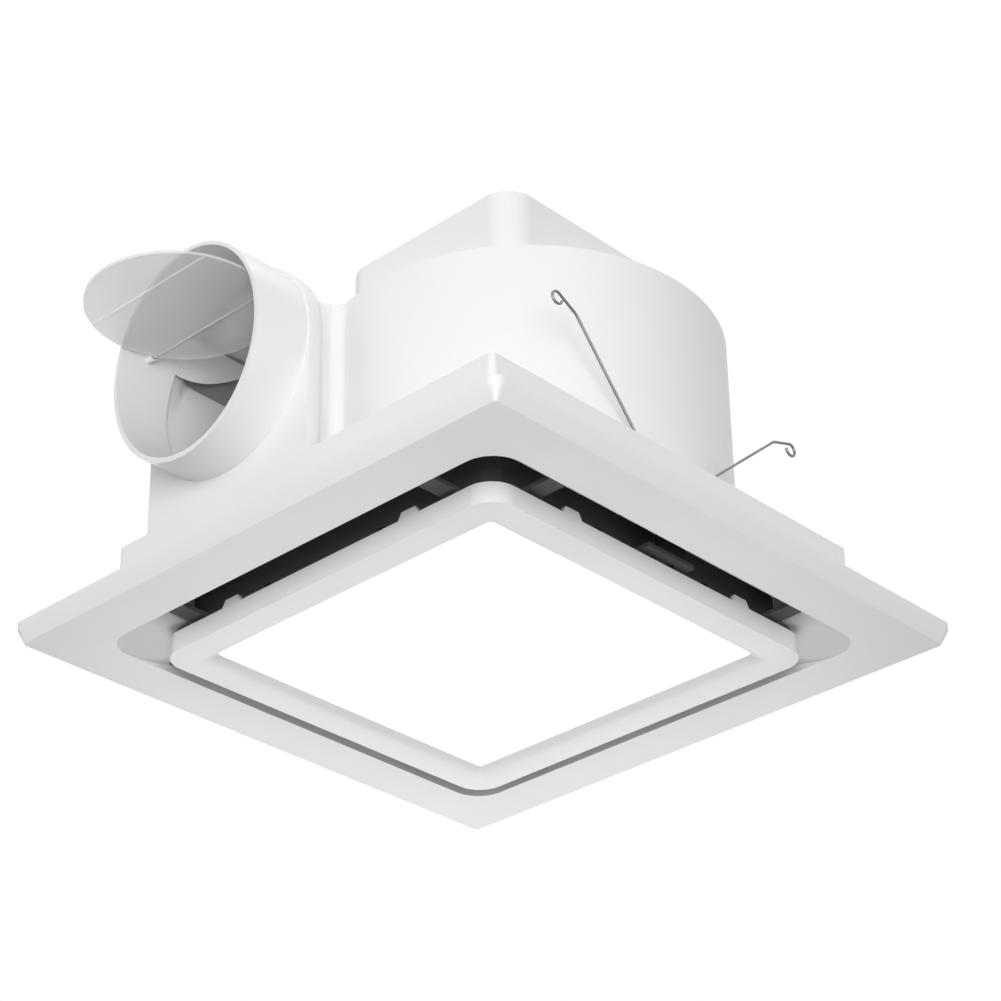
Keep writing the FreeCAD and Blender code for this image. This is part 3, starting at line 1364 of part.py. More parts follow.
make_face_panel()
make_lamp_carrier()
make_lamp()
make_tray()
make_fan_house()
make_wiring_cover()
make_inlet()
make_motor()
make_impeller()
make_duct()
make_brackets()
make_springs()
write_parts()
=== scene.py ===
import json
import logging
import math
from dataclasses import dataclass
from enum import Enum
from typing import Callable, Iterable, Sequence

import bmesh
import bpy
from mathutils import Matrix, Vector

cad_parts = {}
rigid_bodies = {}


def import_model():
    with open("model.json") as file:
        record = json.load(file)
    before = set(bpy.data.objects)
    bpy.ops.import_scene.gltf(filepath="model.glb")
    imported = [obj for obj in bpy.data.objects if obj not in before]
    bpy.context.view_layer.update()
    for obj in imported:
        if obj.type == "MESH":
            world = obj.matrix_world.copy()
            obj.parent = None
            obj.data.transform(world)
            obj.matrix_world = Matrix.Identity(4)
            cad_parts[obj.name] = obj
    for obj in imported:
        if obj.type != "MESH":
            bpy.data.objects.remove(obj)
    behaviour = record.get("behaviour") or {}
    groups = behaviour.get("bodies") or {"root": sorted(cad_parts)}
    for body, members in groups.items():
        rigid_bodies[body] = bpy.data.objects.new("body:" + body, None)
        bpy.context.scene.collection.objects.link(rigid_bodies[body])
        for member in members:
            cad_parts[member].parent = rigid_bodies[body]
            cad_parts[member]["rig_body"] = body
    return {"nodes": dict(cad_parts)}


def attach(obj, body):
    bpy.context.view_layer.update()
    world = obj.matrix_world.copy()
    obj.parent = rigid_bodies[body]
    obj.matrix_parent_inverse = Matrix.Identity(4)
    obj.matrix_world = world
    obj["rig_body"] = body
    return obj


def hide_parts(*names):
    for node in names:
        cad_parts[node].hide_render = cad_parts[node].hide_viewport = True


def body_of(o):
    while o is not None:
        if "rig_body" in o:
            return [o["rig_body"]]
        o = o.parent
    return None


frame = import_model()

LOG = logging.getLogger("exhaust_fan")
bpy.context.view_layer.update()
MM = 0.001
WELD_GAP = 1e-6
ROUNDED_ANGLE = 40.0
PLASTIC_IOR = 1.5
WHITE = (1.0, 1.0, 1.0, 1.0)
Colour = tuple[float, float, float]
Place = tuple[float, float, float]
Links = dict[object, object]


class Socket(Enum):
    """The kinds of socket that a shader node group can have."""

    COLOUR = "NodeSocketColor"
    NUMBER = "NodeSocketFloat"
    VECTOR = "NodeSocketVector"


class Effect(Enum):
    """The surface effects that several finishes share."""

    MOULDED_SKIN = "moulded_skin"
    SETTLED_DUST = "settled_dust"
    RUBBED_EDGE = "rubbed_edge"
    DRAWN_STREAKS = "drawn_streaks"


class Body(Enum):
    """The moving bodies that new pieces ride on."""

    HOUSING = "housing"
    PANEL = "panel"


class HeadSide(Enum):
    """Which end of an upright screw its head is at."""

    TOP = 1
    BOTTOM = -1


def add_node(
    tree: bpy.types.NodeTree, kind: str, links: Links | None = None, **settings: object
) -> bpy.types.Node:
    """Add a node to a shader tree.

    Args:
        tree: The tree that takes the node.
        kind: Blender's name for the node type.
        links: Input name or index to a socket that feeds it, or to a fixed value.
        **settings: Properties set on the node.

    Returns:
        The new node.
    """
    node = tree.nodes.new(kind)
    for name, value in settings.items():
        setattr(node, name, value)
    for name, value in (links or {}).items():
        if isinstance(value, bpy.types.NodeSocket):
            tree.links.new(value, node.inputs[name])
        else:
            node.inputs[name].default_value = value
    return node


class NodeGroup:
    """A shader node group that is put together one node at a time."""

    def __init__(self, effect: Effect) -> None:
        """Start an empty group.

        Args:
            effect: The effect that the group is named for.
        """
        self.tree = bpy.data.node_groups.new(effect.value, "ShaderNodeTree")
        self.inlet = self.tree.nodes.new("NodeGroupInput")
        self.outlet = self.tree.nodes.new("NodeGroupOutput")

    def take(self, name: str, kind: Socket, default: object = None) -> None:
        """Add a named input.

        Args:
            name: The socket's name.
            kind: The socket's kind.
            default: Its value where nothing is linked, or None to leave Blender's own.
        """
        socket = self.tree.interface.new_socket(name=name, in_out="INPUT", socket_type=kind.value)
        if default is not None:
            socket.default_value = default

    def give(self, name: str, kind: Socket, source: bpy.types.NodeSocket) -> None:
        """Add a named output and feed it.

        Args:
            name: The socket's name.
            kind: The socket's kind.
            source: The socket inside the group that feeds it.
        """
        self.tree.interface.new_socket(name=name, in_out="OUTPUT", socket_type=kind.value)
        self.tree.links.new(source, self.outlet.inputs[name])

    def add(self, kind: str, links: Links | None = None, **settings: object) -> bpy.types.Node:
        """Add a node to the group, as add_node does."""
        return add_node(self.tree, kind, links, **settings)

    def noise(
        self, scale: object, detail: float, vector: bpy.types.NodeSocket | None = None
    ) -> bpy.types.NodeSocket:
        """Add a noise texture.

        Args:
            scale: The noise's scale, or a socket that gives it.
            detail: How many finer layers it has.
            vector: Where it is laid out, or None for the group's own Vector input.

        Returns:
            The noise's value.
        """
        where = vector or self.inlet.outputs["Vector"]
        links = {"Vector": where, "Scale": scale, "Detail": detail}
        return self.add("ShaderNodeTexNoise", links).outputs[0]

    def spread(
        self, value: bpy.types.NodeSocket, low: float, high: float, to_low: object = 0.0,
        to_high: object = 1.0,
    ) -> bpy.types.NodeSocket:
        """Stretch a value from one range to another.

        Args:
            value: The value.
            low: Where the first range starts.
            high: Where it ends.
            to_low: What the start becomes, or a socket that gives it.
            to_high: What the end becomes, or a socket that gives it.

        Returns:
            The stretched value.
        """
        links = {
            "Value": value, "From Min": low, "From Max": high, "To Min": to_low, "To Max": to_high,
        }
        return self.add("ShaderNodeMapRange", links).outputs[0]

    def times(self, first: object, second: object) -> bpy.types.NodeSocket:
        """Multiply two values."""
        return self.add("ShaderNodeMath", {0: first, 1: second}, operation="MULTIPLY").outputs[0]

    def mix(self, share: object, first: object, second: object) -> bpy.types.NodeSocket:
        """Mix two colours.

        Args:
            share: How much of the second is in the mix.
            first: The first colour.
            second: The second colour.

        Returns:
            The mixed colour.
        """
        links = {0: share, 6: first, 7: second}
        return self.add("ShaderNodeMix", links, data_type="RGBA").outputs[2]


class EffectLibrary:
    """Builds each shared effect once and hands it out."""

    RIPPLE_SCALE = 140.0
    RIPPLE_SHARE = 0.7
    SMEAR_SCALE = 22.0
    DUST_SCALE = 26.0
    DUST_SLOPE = (0.55, 0.98)
    DUST_PATCHES = (0.35, 0.75)
    CHIP_SCALE = 220.0
    EDGE_BEND = (0.51, 0.6)
    STAIN_SCALE = 55.0
    STAIN_SHARE = 0.45
    TONE_SPAN = (0.3, 0.7)

    def __init__(self) -> None:
        """Start with no group built."""
        self._built: dict[Effect, bpy.types.NodeTree] = {}
        self._makers: dict[Effect, Callable[[NodeGroup], None]] = {
            Effect.MOULDED_SKIN: self._moulded_skin,
            Effect.SETTLED_DUST: self._settled_dust,
            Effect.RUBBED_EDGE: self._rubbed_edge,
            Effect.DRAWN_STREAKS: self._drawn_streaks,
        }

    def tree(self, effect: Effect) -> bpy.types.NodeTree:
        """Give the node tree of an effect.

        Args:
            effect: The effect that is wanted.

        Returns:
            Its node tree, built on first use.
        """
        if effect not in self._built:
            group = NodeGroup(effect)
            group.take("Vector", Socket.VECTOR)
            self._makers[effect](group)
            self._built[effect] = group.tree
        return self._built[effect]

    def _moulded_skin(self, group: NodeGroup) -> None:
        """Fill in moulded plastic: slow colour drift, mould grain, ripple and uneven gloss.

        Args:
            group: The group that is filled in.
        """
        group.take("Tint", Socket.COLOUR, (0.9, 0.9, 0.9, 1.0))
        group.take("Shade", Socket.COLOUR, (0.8, 0.8, 0.8, 1.0))
        group.take("Drift Scale", Socket.NUMBER, 8.0)
        group.take("Grain Scale", Socket.NUMBER, 1500.0)
        group.take("Gloss Low", Socket.NUMBER, 0.25)
        group.take("Gloss High", Socket.NUMBER, 0.4)
        given = group.inlet.outputs
        drift = group.noise(given["Drift Scale"], detail=1.0)
        grain = group.noise(given["Grain Scale"], detail=2.0)
        ripple = group.noise(self.RIPPLE_SCALE, detail=1.0)
        smear = group.noise(self.SMEAR_SCALE, detail=2.0)
        relief = {0: ripple, 1: self.RIPPLE_SHARE, 2: grain}
        height = group.add("ShaderNodeMath", relief, operation="MULTIPLY_ADD").outputs[0]
        group.give("Color", Socket.COLOUR, group.mix(drift, given["Tint"], given["Shade"]))
        gloss = group.spread(smear, 0.0, 1.0, given["Gloss Low"], given["Gloss High"])
        group.give("Roughness", Socket.NUMBER, gloss)
        group.give("Height", Socket.NUMBER, height)

    def _settled_dust(self, group: NodeGroup) -> None:
        """Fill in a thin patchy film on what faces up.

        Args:
            group: The group that is filled in.
        """
        group.take("Color", Socket.COLOUR, (0.9, 0.9, 0.9, 1.0))
        group.take("Dust", Socket.COLOUR, (0.62, 0.6, 0.57, 1.0))
        group.take("Amount", Socket.NUMBER, 0.15)
        given = group.inlet.outputs
        normal = group.add("ShaderNodeNewGeometry").outputs["Normal"]
        upward = group.add("ShaderNodeSeparateXYZ", {0: normal}).outputs["Z"]
        facing = group.spread(upward, *self.DUST_SLOPE)
        patches = group.spread(group.noise(self.DUST_SCALE, detail=5.0), *self.DUST_PATCHES)
        mask = group.times(group.times(facing, patches), given["Amount"])
        group.give("Color", Socket.COLOUR, group.mix(mask, given["Color"], given["Dust"]))

    def _rubbed_edge(self, group: NodeGroup) -> None:
        """Fill in edges that handling has rubbed paler or darker than the flats.

        Args:
            group: The group that is filled in.
        """
        group.take("Color", Socket.COLOUR, (0.9, 0.9, 0.9, 1.0))
        group.take("Edge", Socket.COLOUR, (0.95, 0.95, 0.95, 1.0))
        group.take("Amount", Socket.NUMBER, 0.4)
        given = group.inlet.outputs
        bend = group.add("ShaderNodeNewGeometry").outputs["Pointiness"]
        chips = group.noise(self.CHIP_SCALE, detail=3.0)
        worn = group.times(group.spread(bend, *self.EDGE_BEND), chips)
        mask = group.times(worn, given["Amount"])
        group.give("Color", Socket.COLOUR, group.mix(mask, given["Color"], given["Edge"]))

    def _drawn_streaks(self, group: NodeGroup) -> None:
        """Fill in metal with fine lines along the way it was drawn, rolled or turned.

        Args:
            group: The group that is filled in.
        """
        group.take("Tint", Socket.COLOUR, (0.6, 0.6, 0.6, 1.0))
        group.take("Shade", Socket.COLOUR, (0.4, 0.4, 0.4, 1.0))
        group.take("Stretch", Socket.VECTOR, (1.0, 1.0, 0.05))
        group.take("Streak Scale", Socket.NUMBER, 900.0)
        group.take("Gloss Low", Socket.NUMBER, 0.25)
        group.take("Gloss High", Socket.NUMBER, 0.45)
        given = group.inlet.outputs
        pull = {0: given["Vector"], 1: given["Stretch"]}
        drawn = group.add("ShaderNodeVectorMath", pull, operation="MULTIPLY")
        lines = group.noise(given["Streak Scale"], detail=3.0, vector=drawn.outputs[0])
        stain = group.noise(self.STAIN_SCALE, detail=4.0)
        blend = {0: self.STAIN_SHARE, 2: lines, 3: stain}
        tone = group.add("ShaderNodeMix", blend, data_type="FLOAT").outputs[0]
        group.give("Color", Socket.COLOUR, group.mix(tone, given["Tint"], given["Shade"]))
        gloss = group.spread(tone, *self.TONE_SPAN, given["Gloss Low"], given["Gloss High"])
        group.give("Roughness", Socket.NUMBER, gloss)
        group.give("Height", Socket.NUMBER, lines)


class Dresser:
    """Makes each finish's material once and puts it on objects."""

    def __init__(self) -> None:
        """Start with no material made."""
        self.effects = EffectLibrary()
        self._made: dict[str, bpy.types.Material] = {}

    def material(self, finish: "Finish") -> bpy.types.Material:
        """Give the material of a finish.

        Args:
            finish: The finish that is wanted.

        Returns:
            Its material, made on first use.
        """
        if finish.name not in self._made:
            material = bpy.data.materials.new(finish.name)
            material.use_nodes = True
            finish.fill(material, self.effects)
            self._made[finish.name] = material
        return self._made[finish.name]

    def paint(self, thing: bpy.types.Object, finish: "Finish") -> None:
        """Give an object one finish all over.

        Args:
            thing: The object.
            finish: What it is finished in.
        """
        material = self.material(finish)
        if not thing.data.materials:
            thing.data.materials.append(material)
        for slot in thing.material_slots:
            slot.link = "OBJECT"
            slot.material = material


@dataclass(frozen=True)
class Finish:
    """What every finish has: a name and two tones that its surface drifts between."""

    name: str
    tint: Colour
    shade: Colour

    def fill(self, material: bpy.types.Material, effects: EffectLibrary) -> None:
        """Fill a material's node tree.

        Args:
            material: The material, with Blender's own Principled BSDF in it.
            effects: The shared effects.
        """
        raise NotImplementedError

    def place_effect(
        self, material: bpy.types.Material, effects: EffectLibrary, effect: Effect, links: Links
    ) -> dict[str, bpy.types.NodeSocket]:
        """Put a shared effect into a material.

        Args:
            material: The material.
            effects: The shared effects.
            effect: The one that is wanted.
            links: Input name to a socket that feeds it, or to a fixed value.

        Returns:
            The group's outputs by name.
        """
        tree = effects.tree(effect)
        node = add_node(material.node_tree, "ShaderNodeGroup", links, node_tree=tree)
        return {output.name: output for output in node.outputs}

    @staticmethod
    def shader(material: bpy.types.Material) -> bpy.types.Node:
        """Give a material's Principled BSDF."""
        return material.node_tree.nodes["Principled BSDF"]

    @staticmethod
    def place(material: bpy.types.Material) -> bpy.types.NodeSocket:
        """Give the coordinates that the effects are laid out in: the object's own, in metres."""
        return add_node(material.node_tree, "ShaderNodeTexCoord").outputs["Object"]

    def feed(
        self, material: bpy.types.Material, colour: bpy.types.NodeSocket,
        skin: dict[str, bpy.types.NodeSocket], depth: float,
    ) -> None:
        """Feed a finish's surface to its shader.

        Args:
            material: The material.
            colour: What gives the colour.
            skin: The outputs of the effect that gives roughness and height.
            depth: How deep the height is, in millimetres.
        """
        tree = material.node_tree
        inputs = self.shader(material).inputs
        relief = {"Height": skin["Height"], "Strength": 1.0, "Distance": depth * MM}
        bump = add_node(tree, "ShaderNodeBump", relief)
        tree.links.new(colour, inputs["Base Color"])
        tree.links.new(skin["Roughness"], inputs["Roughness"])
        tree.links.new(bump.outputs[0], inputs["Normal"])


@dataclass(frozen=True)
class PlasticFinish(Finish):
    """Moulded plastic, from high gloss to matt."""

    gloss: tuple[float, float] = (0.26, 0.36)
    drift: float = 8.0
    grain: float = 1400.0
    grain_depth: float = 0.008
    edge: Colour = (0.93, 0.93, 0.925)
    edge_amount: float = 0.15
    dust: float = 0.1
    alpha: float = 1.0
    glow: float = 0.0

    def fill(self, material: bpy.types.Material, effects: EffectLibrary) -> None:
        """Lay mould skin, rubbed edges and dust over one another.

        Args:
            material: The material.
            effects: The shared effects.
        """
        where = self.place(material)
        skin_links = {
            "Vector": where, "Tint": (*self.tint, 1.0), "Shade": (*self.shade, 1.0),
            "Drift Scale": self.drift, "Grain Scale": self.grain,
            "Gloss Low": self.gloss[0], "Gloss High": self.gloss[1],
        }
        skin = self.place_effect(material, effects, Effect.MOULDED_SKIN, skin_links)
        edge_links = {
            "Vector": where, "Color": skin["Color"],
            "Edge": (*self.edge, 1.0), "Amount": self.edge_amount,
        }
        rubbed = self.place_effect(material, effects, Effect.RUBBED_EDGE, edge_links)
        dust_links = {"Vector": where, "Color": rubbed["Color"], "Amount": self.dust}
        dusty = self.place_effect(material, effects, Effect.SETTLED_DUST, dust_links)
        self.feed(material, dusty["Color"], skin, self.grain_depth)
        inputs = self.shader(material).inputs
        inputs["IOR"].default_value = PLASTIC_IOR
        inputs["Alpha"].default_value = self.alpha
        if self.glow > 0.0:
            material.node_tree.links.new(skin["Color"], inputs["Emission Color"])
            inputs["Emission Strength"].default_value = self.glow


@dataclass(frozen=True)
class MetalFinish(Finish):
    """Bare or plated metal with the lines of its making."""

    gloss: tuple[float, float] = (0.25, 0.42)
    stretch: Place = (1.0, 1.0, 0.06)
    streaks: float = 900.0
    depth: float = 0.006
    edge: Colour = (0.8, 0.8, 0.79)
    edge_amount: float = 0.5

    def fill(self, material: bpy.types.Material, effects: EffectLibrary) -> None:
        """Lay drawn streaks under rubbed edges.

        Args:
            material: The material.
            effects: The shared effects.
        """
        where = self.place(material)
        metal_links = {
            "Vector": where, "Tint": (*self.tint, 1.0), "Shade": (*self.shade, 1.0),
            "Stretch": self.stretch, "Streak Scale": self.streaks,
            "Gloss Low": self.gloss[0], "Gloss High": self.gloss[1],
        }
        metal = self.place_effect(material, effects, Effect.DRAWN_STREAKS, metal_links)
        edge_links = {
            "Vector": where, "Color": metal["Color"],
            "Edge": (*self.edge, 1.0), "Amount": self.edge_amount,
        }
        rubbed = self.place_effect(material, effects, Effect.RUBBED_EDGE, edge_links)
        self.feed(material, rubbed["Color"], metal, self.depth)
        self.shader(material).inputs["Metallic"].default_value = 1.0


HOUSING_WHITE = PlasticFinish("housing_white_abs", (0.885, 0.885, 0.88), (0.865, 0.865, 0.86))
PANEL_WHITE = PlasticFinish(
    "panel_satin_white", (0.885, 0.887, 0.89), (0.865, 0.868, 0.872), gloss=(0.34, 0.44),
    grain=900.0,
)
# Greyer than the panel's white: painted shade for the recessed corners of the window.
WEB_SHADE_GREY = PlasticFinish(
    "web_matt_painted_shade", (0.77, 0.772, 0.775), (0.73, 0.732, 0.735), gloss=(0.55, 0.65)
)
BEZEL_WHITE = PlasticFinish(
    "bezel_white", (0.885, 0.887, 0.89), (0.87, 0.872, 0.875), gloss=(0.3, 0.4)
)
OPAL = PlasticFinish(
    "lamp_opal", (0.97, 0.97, 0.97), (0.96, 0.96, 0.96), gloss=(0.4, 0.5), grain=700.0,
    edge_amount=0.0, dust=0.0, glow=1.0,
)
CLEAR_GUIDE = PlasticFinish(
    "guide_acrylic", (0.86, 0.9, 0.9), (0.82, 0.87, 0.87), gloss=(0.08, 0.14), dust=0.0
)
SHEET_WHITE = PlasticFinish(
    "reflector_film", (0.92, 0.92, 0.92), (0.88, 0.88, 0.88), gloss=(0.5, 0.6), dust=0.0
)
FLAP_FILM = PlasticFinish(
    "flap_frosted", (0.92, 0.92, 0.93), (0.88, 0.88, 0.89), gloss=(0.3, 0.45), dust=0.05,
    alpha=0.46,
)
# Colour of the dark sheet in the duct: painted shade for the shadowed gap between the vane and the
# far wall.
SHADE_SHEET_DARK = PlasticFinish(
    "painted_shade_sheet", (0.34, 0.33, 0.325), (0.27, 0.265, 0.26), gloss=(0.8, 0.92), grain=600.0,
    grain_depth=0.2, edge=(0.2, 0.19, 0.18), dust=0.0,
)
# Near-black: painted shade for the dark gap between the window's edge and the lamp, where the
# carrier shows.
CARRIER_SHADE_BLACK = PlasticFinish(
    "carrier_black", (0.08, 0.08, 0.081), (0.092, 0.092, 0.093), gloss=(0.55, 0.7), grain=1100.0,
    grain_depth=0.03, edge=(0.05, 0.05, 0.05), dust=0.06,
)
FAN_GREY = PlasticFinish(
    "fan_grey", (0.24, 0.245, 0.25), (0.2, 0.205, 0.21), gloss=(0.4, 0.55), edge=(0.35, 0.35, 0.35)
)
FITTING_BLACK = PlasticFinish(
    "fitting_black", (0.03, 0.03, 0.03), (0.045, 0.045, 0.045), gloss=(0.35, 0.5),
    edge=(0.1, 0.1, 0.1), dust=0.2,
)
RUBBER_BLACK = PlasticFinish(
    "mount_rubber", (0.025, 0.025, 0.025), (0.035, 0.035, 0.035), gloss=(0.7, 0.85), grain=700.0,
    grain_depth=0.05, edge=(0.06, 0.06, 0.06),
)
PHOSPHOR = PlasticFinish(
    "chip_phosphor", (0.9, 0.78, 0.32), (0.86, 0.72, 0.28), gloss=(0.35, 0.5), dust=0.0
)
SPRING_STEEL = MetalFinish(
    "spring_steel", (0.3, 0.29, 0.28), (0.16, 0.155, 0.15), gloss=(0.28, 0.45),
    stretch=(0.2, 1.0, 0.2),
)
PLATED_STEEL = MetalFinish("plated_steel", (0.62, 0.62, 0.61), (0.5, 0.5, 0.5))
BLACKED_STEEL = MetalFinish(
    "blacked_steel", (0.05, 0.05, 0.052), (0.03, 0.03, 0.031), gloss=(0.5, 0.65),
    edge=(0.12, 0.12, 0.12),
)
SCREW_STEEL = MetalFinish(
    "screw_steel", (0.66, 0.66, 0.65), (0.48, 0.48, 0.48), stretch=(1.0, 1.0, 0.3)
)
TERMINAL_BRASS = MetalFinish(
    "terminal_brass", (0.74, 0.58, 0.28), (0.6, 0.45, 0.2), edge=(0.85, 0.7, 0.4)
)
CORE_STEEL = MetalFinish(
    "core_steel", (0.36, 0.36, 0.38), (0.24, 0.24, 0.25), stretch=(0.05, 0.05, 1.0), depth=0.03
)
COIL_COPPER = MetalFinish(
    "coil_copper", (0.62, 0.28, 0.13), (0.45, 0.19, 0.08), stretch=(0.1, 0.1, 1.0), depth=0.05
)
SHEET_ALUMINIUM = MetalFinish(
    "sheet_aluminium", (0.72, 0.73, 0.74), (0.62, 0.63, 0.64), stretch=(0.05, 1.0, 1.0)
)


class Shaper:
    """Puts a mesh together from rows of points, all in millimetres."""

    def __init__(self) -> None:
        """Start with an empty mesh."""
        self.mesh = bmesh.new()

    def points(self, places: Iterable[Sequence[float]]) -> list[bmesh.types.BMVert]:
        """Add points.

        Args:
            places: Where they are.

        Returns:
            The new points, in order.
        """
        return [self.mesh.verts.new(Vector(place) * MM) for place in places]

    def skin(self, rows: Sequence[Sequence[bmesh.types.BMVert]], closed: bool = False) -> None:
        """Lay four-sided faces between rows of points.

        Args:
            rows: The rows, all of one length.
            closed: Whether each row's last point joins its first.
        """
        for low, high in zip(rows, rows[1:]):
            count = len(low)
            for i in range(count if closed else count - 1):
                j = (i + 1) % count
                self.mesh.faces.new((low[i], low[j], high[j], high[i]))

    def flat(self, corners: Sequence[bmesh.types.BMVert]) -> None:
        """Add one face."""
        self.mesh.faces.new(corners)

    def leaf(self, inner: Sequence[Sequence[Place]], outer: Sequence[Sequence[Place]]) -> None:
        """Add a thin curved sheet with two faces and a closed rim.

        Args:
            inner: Rows of places on its inner face.
            outer: The same rows on its outer face.
        """
        faces = [[self.points(row) for row in side] for side in (inner, outer)]
        for side in faces:
            self.skin(side)
        for edge in (0, -1):
            self.skin((faces[0][edge], faces[1][edge]))
            self.skin(([row[edge] for row in faces[0]], [row[edge] for row in faces[1]]))

    def finish(self, name: str, smooth_angle: float = 35.0) -> bpy.types.Object:
        """Turn the mesh into an object of the scene.

        Args:
            name: The object's name.
            smooth_angle: Edges sharper than this many degrees stay sharp.

        Returns:
            The new object.
        """
        bmesh.ops.recalc_face_normals(self.mesh, faces=self.mesh.faces)
        data = bpy.data.meshes.new(name)
        self.mesh.to_mesh(data)
        self.mesh.free()
        data.shade_smooth()
        data.set_sharp_from_angle(angle=math.radians(smooth_angle))
        thing = bpy.data.objects.new(name, data)
        bpy.context.scene.collection.objects.link(thing)
        return thing


def solid_boxes(node: bpy.types.Object) -> list[tuple[Vector, Vector]]:
    """Measure the separate solids of a CAD node.

    Args:
        node: The node's object.

    Returns:
        The lowest and highest corner of each solid, in millimetres.
    """
    shape = bmesh.new()
    shape.from_mesh(node.data)
    bmesh.ops.remove_doubles(shape, verts=shape.verts, dist=WELD_GAP)
    unseen = set(shape.verts)
    boxes = []
    while unseen:
        waiting = [unseen.pop()]
        low, high = waiting[0].co.copy(), waiting[0].co.copy()
        while waiting:
            vert = waiting.pop()
            low = Vector(map(min, low, vert.co))
            high = Vector(map(max, high, vert.co))
            around = {edge.other_vert(vert) for edge in vert.link_edges} & unseen
            unseen -= around
            waiting.extend(around)
        boxes.append((low / MM, high / MM))
    shape.free()
    return sorted(boxes, key=lambda box: tuple(round(value, 3) for value in box[0]))


def quarter_turns(x: float, y: float, count: int) -> tuple[float, float]:
    """Turn a place counter-clockwise round the Z axis.

    Args:
        x: The place's x.
        y: The place's y.
        count: How many quarter turns.

    Returns:
        The turned x and y.
    """
    for _ in range(count):
        x, y = -y, x
    return x, y


@dataclass(frozen=True)
class CrossScrew:
    """A pan-head screw with a cross recess, cut to the box of the plain solid it stands for."""

    head_height: float = 1.6
    head_shape: tuple[tuple[float, float], ...] = (
        (0.7, 1.0), (0.87, 0.88), (1.0, 0.55), (1.0, 0.08), (0.97, 0.0)
    )
    shank_radius: float = 1.5
    thread_start: float = 0.3
    thread_depth: float = 0.3
    thread_pitch: float = 0.9
    tip_length: float = 1.0
    tip_share: float = 0.3
    turn_step: float = 37.0
    turn_limit: float = 90.0
    recess_reach: float = 0.56
    recess_half: float = 0.14
    recess_depth: float = 1.1
    recess_draft: float = 0.78
    arc_steps: int = 3

    def add(self, shaper: Shaper, box: tuple[Vector, Vector], head: HeadSide, number: int) -> None:
        """Add one screw to a mesh.

        Args:
            shaper: The mesh.
            box: The box of the plain solid.
            head: Which end the head is at.
            number: Which screw of the set it is; each was driven round to an angle of its own.
        """
        low, high = box
        middle = (low + high) / 2
        radius = (high.x - low.x) / 2
        seat = high.z - self.head_height if head is HeadSide.TOP else low.z + self.head_height
        length = high.z - low.z - self.head_height
        cross = self.cross_corners(radius)
        angles = self.rim_angles(cross)
        spin = math.radians(number * self.turn_step % self.turn_limit)

        def put(x: float, y: float, level: float) -> Place:
            """Turn a place round the screw's axis and move it to the seat.

            Args:
                x: How far along X it is from the axis before the turn.
                y: How far along Y it is.
                level: How far it is from the seat towards the head.

            Returns:
                The place in the object's frame.
            """
            return (
                middle.x + x * math.cos(spin) - y * math.sin(spin),
                middle.y + x * math.sin(spin) + y * math.cos(spin),
                seat + level * head.value,
            )

        def ring(size: float, level: float) -> list[bmesh.types.BMVert]:
            """Add a ring of points round the axis."""
            return shaper.points(put(size * math.cos(a), size * math.sin(a), level) for a in angles)

        rings = [ring(size, level) for size, level in self.profile(radius, length)]
        shaper.skin(rings, closed=True)
        shaper.flat(rings[-1])
        top = shaper.points(put(x, y, self.head_height) for x, y in cross)
        floor_level = self.head_height - self.recess_depth
        draft = self.recess_draft
        floor = shaper.points(put(x * draft, y * draft, floor_level) for x, y in cross)
        shaper.skin((top, floor), closed=True)
        corners = len(cross)
        # Each arm of the cross has three corners, the last of them an inner one.
        shaper.flat(floor[2::3])
        for arm in range(0, corners, 3):
            shaper.flat([floor[(arm + i) % corners] for i in (-1, 0, 1, 2)])
        for sector in range(corners):
            start = sector * self.arc_steps
            arc = [rings[0][(start + i) % len(angles)] for i in range(self.arc_steps, -1, -1)]
            shaper.flat([top[sector], top[(sector + 1) % corners], *arc])

    def cross_corners(self, radius: float) -> list[tuple[float, float]]:
        """Give the twelve corners of the recess, counter-clockwise from the +X arm.

        Args:
            radius: The head's radius.

        Returns:
            The corners, relative to the screw's axis.
        """
        reach, half = self.recess_reach * radius, self.recess_half * radius
        arm_corners = ((reach, -half), (reach, half), (half, half))
        return [quarter_turns(x, y, arm) for arm in range(4) for x, y in arm_corners]

    def rim_angles(self, cross: Sequence[tuple[float, float]]) -> list[float]:
        """Give the angles of the head's rings, which line up with the recess.

        Args:
            cross: The corners of the recess.

        Returns:
            The angles in radians, counter-clockwise.
        """
        marks = [math.atan2(y, x) for x, y in cross]
        angles = []
        for start, end in zip(marks, marks[1:] + marks[:1]):
            step = ((end - start) % (2 * math.pi)) / self.arc_steps
            angles.extend(start + step * i for i in range(self.arc_steps))
        return angles

    def profile(self, radius: float, length: float) -> list[tuple[float, float]]:
        """Give the radius and level of each ring, from the head's top down to the tip.

        Args:
            radius: The head's radius.
            length: The shank's length.

        Returns:
            The rings, with levels from the seat.
        """
        shank, core = self.shank_radius, self.shank_radius - self.thread_depth
        rings = [(wide * radius, high * self.head_height) for wide, high in self.head_shape]
        rings.append((shank, 0.0))
        depth = self.thread_start
        while depth + self.thread_pitch < length - self.tip_length:
            rings.append((shank, -depth))
            rings.append((core, -depth - self.thread_pitch / 2))
            depth += self.thread_pitch
        return rings + [(core, self.tip_length - length), (self.tip_share * shank, -length)]


def soften(thing: bpy.types.Object, width: float, segments: int = 3) -> None:
    """Round an object's sharp edges without touching its mesh.

    Args:
        thing: The object.
        width: How far from the edge the rounding starts, in millimetres.
        segments: How many strips the rounding has.
    """
    weld = thing.modifiers.new("weld", "WELD")
    weld.merge_threshold = WELD_GAP
    bevel = thing.modifiers.new("soft_edges", "BEVEL")
    bevel.width = width * MM
    bevel.segments = segments
    bevel.limit_method = "ANGLE"
    bevel.angle_limit = math.radians(ROUNDED_ANGLE)
    bevel.use_clamp_overlap = True
    normals = thing.modifiers.new("even_normals", "WEIGHTED_NORMAL")
    normals.keep_sharp = False


